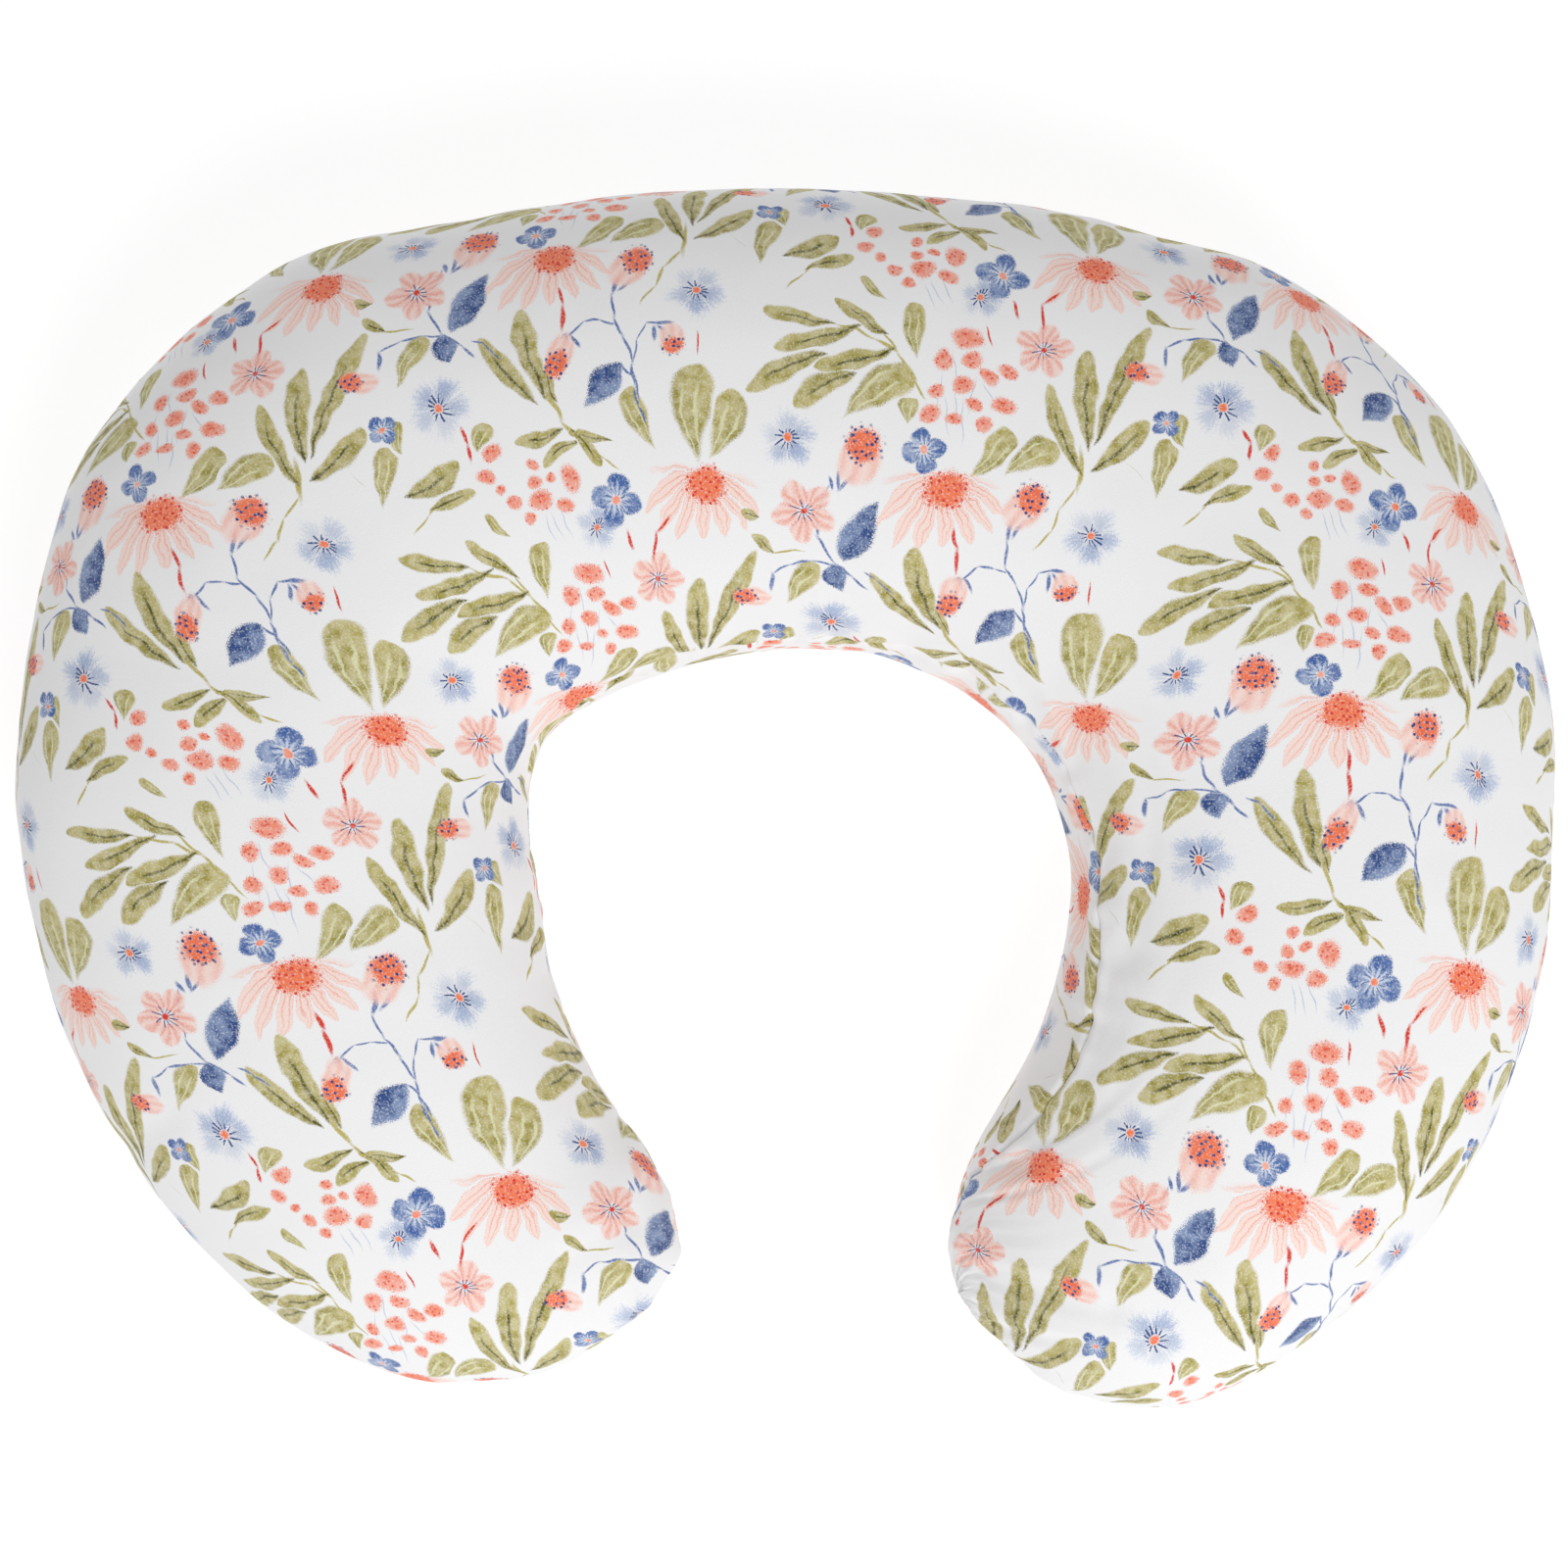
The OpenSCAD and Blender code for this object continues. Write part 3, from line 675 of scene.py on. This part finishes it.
    # Stems, then leaves with pale veins, then leaves with a dark rib.
    colour = over(colour, strokes(olive_stems), "olive")
    for leaves, ribbed in ((veined_leaves, False), (ribbed_leaves, True)):
        x, y = in_leaves(leaves)
        round_ = sub(1.0, mul(x, x))
        y = mad(round_, -0.28, add(y, 0.16))
        base = power_of(most(add(x, 1.0), 0.0), 0.95 if ribbed else 1.15)
        tip = power_of(most(sub(1.0, x), 0.0), 0.62 if ribbed else 0.48)
        profile = mul(mul(base, tip), 0.88 if ribbed else 0.84)
        inside = sub(profile, absolute(y))
        cover = worn(inside, 5.0, 0.45, 0.1)
        cover = mul(cover, mul(round_, 9.0, clamp=True))
        shade = mad(x, -0.30, mad(wash, 2.4, -0.80))
        shade = mad(y, 0.35, mad(grain, 0.22, shade), clamp=True)
        colour = over(colour, mul(cover, thin), "olive", "olive_deep", shade)
        if ribbed:
            rib = worn(absolute(y), -9.0, 0.25, 1.45)
            ends = mul(sub(0.55, x), 4.0, clamp=True)
            mark = mul(mul(rib, ends), mad(tone, 0.45, 0.55))
            colour = over(colour, mul(mark, cover), "rib")
        else:
            lines = div(mad(wash, 0.25, y), add(profile, 0.10))
            lines = cosine(mad(lines, 9.4, 1.2))
            lines = worn(lines, 3.4, 0.9, -2.1)
            mark = mul(lines, mul(sub(0.70, x), 3.0, clamp=True))
            colour = over(colour, mul(mark, mul(cover, 0.75)), "vein")

    # Blue stems and leaves.
    colour = over(colour, strokes(blue_stems), "stem", "blue", mad(tone, 0.7, 0.0))
    x, y = in_leaves(blue_leaves)
    round_ = most(sub(1.0, mul(x, x)), 0.0)
    inside = sub(mul(round_, mad(x, -0.3, 0.95)), absolute(y))
    cover = mad(inside, 6.0, grain, clamp=True)
    cover = mul(cover, mul(round_, 9.0, clamp=True))
    side = mad(y, 0.7, mad(grain, 0.35, tone), clamp=True)
    colour = over(colour, cover, "blue_deep", "blue_pale", mul(side, 0.55))

    # Pansies of four round petals.
    own = flowers(pansies)
    r, off, number = petals(own, 4, 0.5)[:3]
    cover = worn(from_petal(r, off, 3.9), -1.9, 0.8, 6.0)
    streak = mul(cosine(mul(off, 13.0)), 0.45)
    pale = mad(r, -0.42, mad(grain, 0.45, add(streak, 1.75)), clamp=True)
    pale = most(pale, mul(tone, spread(number, 0.0, 0.75, 3.0)))
    colour = over(colour, cover, "blue", "blue_mist", pale)
    colour = over(colour, stamens(own, r, 9, 1.2, 3.3, 0.24), "navy")
    colour = over(colour, mad(r, -2.4, 3.1, clamp=True), "petal", "coral", tone)

    # Pink five-petalled flowers.
    own = flowers(pink_flowers)
    r, off = petals(own, 5, 0.3)[:2]
    cover = worn(from_petal(r, off, 5.4, 1.12), -1.4, 0.7, 5.6)
    streak = cosine(mad(off, 15.0, mul(wash, 4.0)))
    streak = mad(streak, 0.28, mad(grain, 0.3, mad(r, -0.05, 0.74)), clamp=True)
    colour = over(colour, mul(cover, 0.9), "petal_pale", "petal_deep", streak)
    colour = over(colour, stamens(own, r, 10, 1.0, 4.1, 0.30), "navy")
    colour = over(colour, mad(r, -2.4, 2.9, clamp=True), "red")

    # Berries and seeded buds.
    own, d = ovals(berries, 1.22)
    cover = worn(d, -2.2, 0.9, 2.1)
    pale = mad(d, 0.35, mul(tone, 0.6), clamp=True)
    colour = over(colour, mul(cover, 0.94), "coral", "petal", pale)
    spot = length(vec("ADD", own, (0.12, -0.3, 0.0)))
    spot = worn(spot, -6.0, 1.2, 1.3)
    spot = most(spot, mul(mad(seeds, -9.0, 2.1, clamp=True), cover))
    colour = over(colour, mul(spot, 0.80), "red")
    own, d = ovals(buds)
    x, y = along_across(own)
    cover = worn(d, -2.6, 0.7, 2.7)
    streak = mad(cosine(mul(y, 9.0)), 0.3, 0.45, clamp=True)
    colour = over(colour, mul(cover, 0.9), "petal_pale", "petal", streak)
    head = length(vec("MULTIPLY_ADD", own, (1.75, 1.25, 0.0), (-0.72, 0.0, 0.0)))
    seeded = worn(head, -4.0, 1.0, 4.2)
    colour = over(colour, seeded, "coral", "coral_deep", mul(tone, 0.35))
    dots = mad(seeds, -10.0, 2.7, clamp=True)
    colour = over(colour, mul(dots, mad(head, -3.0, 4.0, clamp=True)), "navy")
    colour = over(colour, strokes(red_strokes), "red")
    bare = mad(stipple, 3.2, -1.75, clamp=True)  # where the cloth shows through the ink
    return over(colour, mul(bare, 0.42), "cloth"), speckle


def finish_shader(n, colour, height=None, strength=0.3, distance=0.0004, **settings):
    """Adds the shader and the output, with a bump where a height is given."""
    shader = n.new("BsdfPrincipled", Base_Color=colour, **settings)
    if height is not None:
        bump = n.new("Bump", Strength=strength, Distance=distance, Height=height)
        n.put(shader.inputs["Normal"], bump.outputs[0])
    n.new("OutputMaterial", Surface=shader.outputs[0])


def weave_height(n, coordinates, pitch):
    """Height of a plain weave: threads over and under each other."""
    k = math.pi / pitch
    a = n.math("SINE", n.math("MULTIPLY", n.part(coordinates, 0), k))
    b = n.math("SINE", n.math("MULTIPLY", n.part(coordinates, 1), k))
    return n.math("MULTIPLY", a, b)


def cotton_material(name):
    n = Nodes(name)
    place = n.new("Attribute", attribute_name="cloth_mm").outputs["Vector"]
    colour, speckle = print_colour(n, place)
    slub = n.noise(place, 0.9, 3.0)
    weave = weave_height(n, place, 0.42)
    height = n.math("MULTIPLY_ADD", weave, 0.35, n.math("MULTIPLY_ADD", slub, 1.1, speckle))
    finish_shader(n, colour, height, 0.22, 0.00022, Roughness=0.86, Sheen_Weight=0.12,
                  Sheen_Roughness=0.55, Specular_IOR_Level=0.25)
    return n.material


def plain_cloth(name, colour, pitch, roughness=0.85, sheen=0.2, strength=0.3):
    """Undyed woven cloth: two sets of threads, with slubs, a faint unevenness of tone, and painted
    shade where the weave dips between threads.
    """
    n = Nodes(name)
    place = n.vector("SCALE", n.object_place())
    place.node.inputs["Scale"].default_value = 1000.0  # to millimetres
    weave = weave_height(n, place, pitch)
    slub = n.noise(place, 0.6, 3.0, "3D")
    # Painted shade: the colour darkens a little where the weave dips between threads; the slubs add
    # a random unevenness of tone.
    tone = n.math("MULTIPLY_ADD", slub, 0.5, n.math("MULTIPLY", weave, 0.10), clamp=True)
    shade = n.mix(tone, linear(colour, 0.86), linear(colour))
    finish_shader(n, shade, n.math("ADD", weave, slub), strength, pitch * 0.4 * MM,
                  Roughness=roughness, Sheen_Weight=sheen, Sheen_Roughness=0.5,
                  Specular_IOR_Level=0.3)
    return n.material


def thread_material():
    n = Nodes("thread")
    ply_relief_and_shade = n.new("TexWave", wave_type="BANDS", bands_direction="DIAGONAL", Vector=n.object_place(),
                Scale=900.0, Distortion=1.5).outputs["Fac"]
    # Painted shade: the thread's colour darkens in the grooves between its plies, along the same
    # bands that give the bump.
    colour = n.mix(ply_relief_and_shade, linear("d9d6cf"), linear("f6f4ee"))
    finish_shader(n, colour, ply_relief_and_shade, 0.6, 0.0001, Roughness=0.6, Sheen_Weight=0.3, Sheen_Roughness=0.4)
    return n.material


def metal_material():
    """Satin nickel plate: fine brushing along the slider, with duller rubbed patches."""
    n = Nodes("zip_metal")
    place = n.object_place()
    stretched = n.vector("MULTIPLY", place, (120.0, 120.0, 2600.0))
    brushed = n.noise(stretched, 1.0, 3.0, "3D")
    rubbed = n.noise(place, 260.0, 2.0, "3D")
    rough = n.math("MULTIPLY_ADD", rubbed, 0.22, n.math("MULTIPLY_ADD", brushed, 0.14, 0.12))
    colour = n.mix(rubbed, linear("a9a8a4"), linear("dcdbd7"))
    finish_shader(n, colour, brushed, 0.15, 0.00004, Metallic=1.0, Roughness=rough)
    return n.material


def nylon_material():
    n = Nodes("zip_nylon")
    cloudy = n.noise(n.object_place(), 700.0, 2.0, "3D")
    colour = n.mix(cloudy, linear("e6e5df"), linear("f8f7f3"))
    rough = n.math("MULTIPLY_ADD", cloudy, 0.2, 0.28)
    finish_shader(n, colour, cloudy, 0.08, 0.00005, Coat_Weight=0.25, Coat_Roughness=0.2,
                  Roughness=rough)
    return n.material


def fibre_material():
    n = Nodes("fibre")
    place = n.object_place()
    tufts = n.noise(place, 90.0, 6.0, "3D")
    hairs = n.noise(n.vector("MULTIPLY", place, (900.0, 900.0, 200.0)), 1.0, 2.0, "3D")
    # Painted shade: the fibre's colour darkens where its tufts dip, following the bump's height.
    colour = n.mix(tufts, linear("dcdcda"), linear("fafaf8"))
    finish_shader(n, colour, n.math("MULTIPLY_ADD", hairs, 0.3, tufts), 0.8, 0.002, Roughness=0.95,
                  Sheen_Weight=0.6, Sheen_Roughness=0.7)
    return n.material


def floor_material():
    n = Nodes("pale_floor")
    faint = n.noise(n.object_place(), 6.0, 2.0, "3D")
    colour = n.mix(faint, linear("9e9e9e"), linear("a2a2a2"))
    finish_shader(n, colour, Roughness=0.9, Specular_IOR_Level=0.1, Emission_Color=(1, 1, 1, 1),
                  Emission_Strength=0.77)
    return n.material


# ----------------------------------------------------------------- pieces ---
# Soft creases of the cover in plan: from, to, width and depth.
creases = [
    ((58, -121), (76, -119), 4, 2.8), ((62, -156), (104, -166), 6, 2.6),
    ((69, -175), (96, -178), 2.4, 1.8), ((96, -128), (128, -146), 9, 1.5),
    ((-72, -150), (-50, -140), 6, 1.4), ((-222, -118), (-200, -104), 7, 1.4),
    ((-214, 96), (-196, 84), 8, 1.0), ((80, -60), (112, -50), 6, 1.2),
]


groove_depth, groove_width, slot_groove = 1.5, 3.6, 1.6  # of a sewn seam, and beside the zip
hem_drop, hem_in = 1.2, 3.0  # how far the raw edge turns under, and then in
floor_gap = 0.25
wall_start, under_start = (12.0, 40.0), (37.0, 18.0)  # where the lower panel's print begins


def dress(g, upper, seed):
    """Seam grooves, puckers, folds and the soft unevenness of stuffed cotton."""
    n = normals_of(g.p)
    dip = lambda gap, width: groove_depth * np.clip(1 - gap / width, 0, 1) ** 2
    groove = (dip(g.seam_side, groove_width) + dip(g.zip_side, groove_width) * (1 - g.in_zip)
              + dip(g.zip_side, slot_groove) * g.in_zip)
    edges = [g.along[:, :1], g.along[:, -1:]]
    at_zip, at_seam = edges if upper else edges[::-1]
    lift = np.zeros(g.p.shape[:2])
    # Both panels use the same seeds along a seam, so that their puckers meet.
    for line, gap, size, sewn in ((at_seam, g.seam_side, 1.15, 501),
                                  (at_zip, g.zip_side, 0.85, 503)):
        line = line + np.zeros_like(gap)
        lift += size * np.exp(-gap / 7) * bumps(line / 5.2, gap / 16, sewn)
        lift += 0.8 * size * np.exp(-gap / 20) * bumps(line / 12.5, gap / 34, sewn + 1)
    calm = np.clip(g.seam_side / 6, 0, 1) * np.clip(g.zip_side / 6, 0, 1)
    inner_folds = np.exp(-((g.seam_side - 10) / 26) ** 2)
    ridge = np.sqrt(bumps(g.along / 24, g.seam_side / 60, seed + 21) ** 2 + 0.02)
    lift += 1.5 * inner_folds * (0.35 - ridge) * calm
    plan = g.p[..., :2]
    for size, across, number in ((1.0, 46, 31), (0.35, 15, 32)):
        x, y = (plan[..., k] / across + 20 for k in (0, 1))
        lift += size * bumps(x, y, seed + number) * calm
    near_tip = np.exp(-np.minimum(g.s, last - g.s) / 1.3)[:, None]
    lift += 1.2 * near_tip * bumps(g.seam_side / 11 + 3, g.along / 40, seed + 41) * calm
    if upper:
        for a, b, width, depth in creases:
            lift -= depth * crease(plan, a, b, width) * calm
            lift += 0.35 * depth * crease(plan, a, b, width * 2.2) * calm
    return g.p + n * (lift - groove)[..., None], n


def cover_panel(name, node, upper, seed):
    """One printed panel of the cover, with its raw edges turned in under itself."""
    g = panel(upper, 0.0)
    flat = flat_print(g.s, g.out)
    if upper:
        flat = wall = tie_down(flat, g.p[..., :2])(flat)
    else:
        # The print runs straight along the wall inside the C, and changes over where the panel
        # lies on the floor.
        wall = np.stack([g.along[:, :1] + 0 * g.out, -g.seam_side], -1) * cloth_stretch + wall_start
        flat = flat * (-1, 1) + under_start
    dressed, n = dress(g, upper, seed)
    dressed[..., 2] = np.maximum(dressed[..., 2], floor_gap)
    hems = []
    for at, within in ((0, 2), (-1, -3)):
        fold = dressed[:, at] - n[:, at] * hem_drop
        inward = unit(dressed[:, within] - dressed[:, at])
        hems.append([fold + inward * hem_in, fold])
    full = np.concatenate([np.stack(hems[0], 1), dressed, np.stack(hems[1][::-1], 1)], 1)
    widened = lambda v: np.pad(v, ((0, 0), (2, 2), (0, 0)), "edge")
    obj = grid_mesh(name, full)
    set_print(obj, widened(wall), widened(flat), full.shape[1] // 2)
    obj.data.materials.append(cotton)
    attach(obj, "pillow")
    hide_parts(node)
    return obj


def tube(points, radii, sides=6):
    """Vertices and faces of a tube along points, with its ends closed."""
    along = unit(np.gradient(points, axis=0))
    side = unit(np.cross(along, (0.0, 0.0, 1.0) if abs(along[0, 2]) < 0.9 else (1.0, 0.0, 0.0)))
    up = np.cross(side, along)
    a = np.arange(sides) * math.tau / sides
    ring = np.cos(a)[None, :, None] * side[:, None] + np.sin(a)[None, :, None] * up[:, None]
    verts = (points[:, None] + ring * np.asarray(radii)[:, None, None]).reshape(-1, 3)
    n = len(points)
    corner = lambda i, k: i * sides + k % sides
    faces = [[corner(i, k), corner(i, k + 1), corner(i + 1, k + 1), corner(i + 1, k)]
             for i in range(n - 1) for k in range(sides)]
    faces += [list(range(sides))[::-1], [corner(n - 1, k) for k in range(sides)]]
    return verts, faces


def joined(name, parts, material, node):
    """One piece from several (vertices, faces) in millimetres."""
    verts, faces, start = [], [], 0
    for v, f in parts:
        verts.append(v)
        faces += [[k + start for k in face] for face in f]
        start += len(v)
    mesh = bpy.data.meshes.new(name)
    mesh.from_pydata((np.concatenate(verts) * MM).tolist(), [], faces)
    mesh.polygons.foreach_set("use_smooth", [True] * len(mesh.polygons))
    mesh.materials.append(material)
    obj = linked(name, mesh)
    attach(obj, "pillow")
    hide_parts(node)


def cad_piece(node, material):
    """A CAD node that keeps its shape and gets a better material."""
    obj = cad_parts[node]
    obj.data.materials.clear()
    obj.data.materials.append(material)
    return obj


def stitches(path, out, length=2.7, gap=0.8, radius=0.33, bulge=0.25):
    """Tubes for the stitches along a path, each a short arch of thread."""
    run = lengths(path, 0)
    shape = np.array([0.0, 0.18, 0.5, 0.82, 1.0])
    rise = np.array([-1.0, 0.5, 1.0, 0.5, -1.0]) * bulge
    radii = radius * np.array([0.7, 1, 1, 1, 0.7])
    parts = []
    for i in range(int(run[-1] / (length + gap))):
        places = i * (length + gap) + shape * length
        at = lambda v: np.stack([np.interp(places, run, v[:, k]) for k in range(3)], -1)
        parts.append(tube(at(path) + at(out) * rise[:, None], radii))
    return parts


def seam_parts(s, t, depth, **sizes):
    """Stitches along the seam that runs at the angles t, at a depth in the body."""
    p = body(s, t[:, None], depth)[:, 0]
    return stitches(p, unit(body(s, t[:, None], depth - 1.0)[:, 0] - p), **sizes)


cotton = cotton_material("printed_cotton")
thread = thread_material()
metal = metal_material()
nylon = nylon_material()
tape_cloth = plain_cloth("zip_tape", "eeeeec", 0.7, 0.75, 0.15, 0.5)
liner_cloth = plain_cloth("liner_cloth", "f2f2f0", 0.5)
label_cloth = plain_cloth("label_satin", "f5f5f3", 0.35, 0.45, 0.35, 0.2)

cover_top = cover_panel("cover_top", "cover_top_panel", True, 100)
cover_bottom = cover_panel("cover_bottom", "cover_bottom_panel", False, 200)

# Seam thread: along the inner seam, along both outer seams, and the lines that hold the zip.
seam_depth, top_stitch_depth = 2.9, 0.05
fine = np.linspace(0.1, last - 0.1, 900)
left, right = fine[fine < back - zip_steps], fine[fine > back + zip_steps]
zip_s = np.linspace(back - zip_steps - 0.05, back + zip_steps + 0.05, 200)
beside = (slot_w / 2 + 2.2) / heights_at(zip_s)[:, 0]
parts = seam_parts(fine, inner_seam(fine), seam_depth)
for side in (left, right):
    parts += seam_parts(side, outer_seam(side), seam_depth)
for way in (-1, 1):
    parts += seam_parts(zip_s, outer_seam(zip_s) + way * beside, top_stitch_depth, radius=0.22,
                        bulge=0.12)
joined("cover_seam_stitches", parts, thread, "cover_seam_thread")

# Zip: woven tapes, and a coil of nylon turns on each.
chain_r, lean = 488.205, math.radians(13.2506)  # the chain's radius round the back, and its tilt
tape_depth, tape_inner, tape_outer = 1.7, 0.55, 12.0
coil_half = zip_steps * arc_step - 0.4  # degrees to each side of the back
pitch, around, nylon_r, cord_r = 1.35, 14, 0.27, 0.36
turns = int(math.radians(2 * coil_half) * chain_r / pitch)


def chain_point(angle, x_out, z_up):
    """Points on the chain: angle round the back in degrees, then out of the cloth and up it."""
    a = np.radians(angle)
    r = chain_r + x_out * math.cos(lean) + z_up * math.sin(lean)
    z = seam_z - x_out * math.sin(lean) + z_up * math.cos(lean) + 0 * a
    return np.stack([arc_centre[0] + r * np.sin(a), arc_centre[1] + r * np.cos(a), z], -1)


for upper in (True, False):
    word, way = ("upper", 1) if upper else ("lower", -1)
    s = np.linspace(back - zip_steps, back + zip_steps, 240)
    far = way * np.linspace(tape_inner, tape_outer, 12)
    t = outer_seam(s)[:, None] + far / heights_at(s)[:, 0:1]
    tape = grid_mesh("zip_tape_" + word + "_woven", body(s, t, tape_depth))
    tape.data.materials.append(tape_cloth)
    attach(tape, "pillow")
    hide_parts("zip_tape_" + word)
    phase = np.arange(turns * around + 1) * math.tau / around + (0 if upper else math.pi)
    out = -0.5 + 0.72 * np.sin(phase)
    up = way * (1.58 - 1.12 * np.cos(phase) - 0.16 * np.cos(3 * phase))
    coil_line = chain_point(np.linspace(-coil_half, coil_half, len(phase)), out, up)
    cord_line = chain_point(np.linspace(-coil_half, coil_half, 120), -0.5, way * 1.7)
    parts = [tube(line, np.full(len(line), r))
             for line, r in ((coil_line, nylon_r), (cord_line, cord_r))]
    joined("zip_coil_" + word + "_turns", parts, nylon, "zip_coil_" + word)

# The slider, pull and stops keep the CAD's shape, with their edges rounded off.
for node, edge_mm in (("zip_slider", 0.32), ("zip_pull", 0.28), ("zip_top_stops", 0.3),
                      ("zip_bottom_stop", 0.3)):
    round_off = cad_piece(node, metal).modifiers.new("rounded", "BEVEL")
    round_off.width, round_off.segments = edge_mm * MM, 3
    round_off.limit_method, round_off.angle_limit = "ANGLE", math.radians(40)
for node in ("care_label", "liner_label"):
    cad_piece(node, label_cloth)
for node in ("liner_seam_thread", "liner_closing_stitches"):
    cad_piece(node, thread)

# Inner pillow: the liner's two panels and the fibre inside them.
liner_depth, fibre_depth, fibre_rows = 4.2, 7.4, 300
for upper in (True, False):
    word = "top" if upper else "bottom"
    g = panel(upper, liner_depth, rows=420, columns=56, in_cover=False)
    near = np.minimum(g.zip_side, g.seam_side)
    lift = -0.7 + 0.5 * bumps(g.p[..., 0] / 18 + 30, g.p[..., 1] / 18 + 30, 300 + upper)
    lift -= np.clip(1 - near / 3, 0, 1)
    lift += 0.5 * np.exp(-near / 8) * bumps(g.along / 6, near / 20, 310 + upper)
    liner = grid_mesh("liner_" + word, g.p + normals_of(g.p) * lift[..., None])
    liner.data.materials.append(liner_cloth)
    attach(liner, "pillow")
    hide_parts("liner_" + word + "_panel")

s = np.linspace(0.12, last - 0.12, fibre_rows)
t = np.linspace(0, math.tau, 73)[:-1] + np.zeros((fibre_rows, 1))
p = body(s, t, fibre_depth)
tufts = 1.3 * bumps(p[..., 0] / 9 + p[..., 2] / 13 + 40, p[..., 1] / 9 + 40, 400)
p += normals_of(p) * tufts[..., None] * 0.5
fibre = grid_mesh("fibre", p, tips=[p[0].mean(0), p[-1].mean(0)])
fibre.data.materials.append(fibre_material())
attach(fibre, "pillow")
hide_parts("fibre_filling")

# ------------------------------------------------------------------ stage ---
floor_half = 30  # metres, so that no edge or horizon shows from the side
floor_mesh = bpy.data.meshes.new("floor")
corners = ((-1, -1), (1, -1), (1, 1), (-1, 1))
floor_mesh.from_pydata([(x * floor_half, y * floor_half, 0) for x, y in corners], [], [(0, 1, 2, 3)])
floor_mesh.materials.append(floor_material())
linked("floor", floor_mesh)

world = bpy.data.worlds.new("studio")
scene.world = world
world.use_nodes = True
background = world.node_tree.nodes["Background"]
background.inputs["Color"].default_value = (1, 1, 1, 1)
background.inputs["Strength"].default_value = 0.52

# One broad soft light, from the front right.
key_place = (0.5, -1.15, 1.85)
key_data = bpy.data.lights.new("key", "AREA")
key_data.shape, key_data.size, key_data.energy = "DISK", 1.1, 23
key = linked("key", key_data)
key.location, key.rotation_mode = key_place, "QUATERNION"
key.rotation_quaternion = (-Vector(key_place)).to_track_quat("-Z", "Y")

# The camera looks straight down, as in the photograph.
scene.view_settings.view_transform = "Standard"
camera_data = bpy.data.cameras.new("camera")
scene.camera = linked("camera", camera_data)
camera_far, edge_height = 1.5, 0.060
seen_width = 0.521  # across the frame at the height of the pillow's edges
scene.camera.location = (-0.0007, 0.0052, edge_height + camera_far)
camera_data.lens = camera_data.sensor_width * camera_far / seen_width
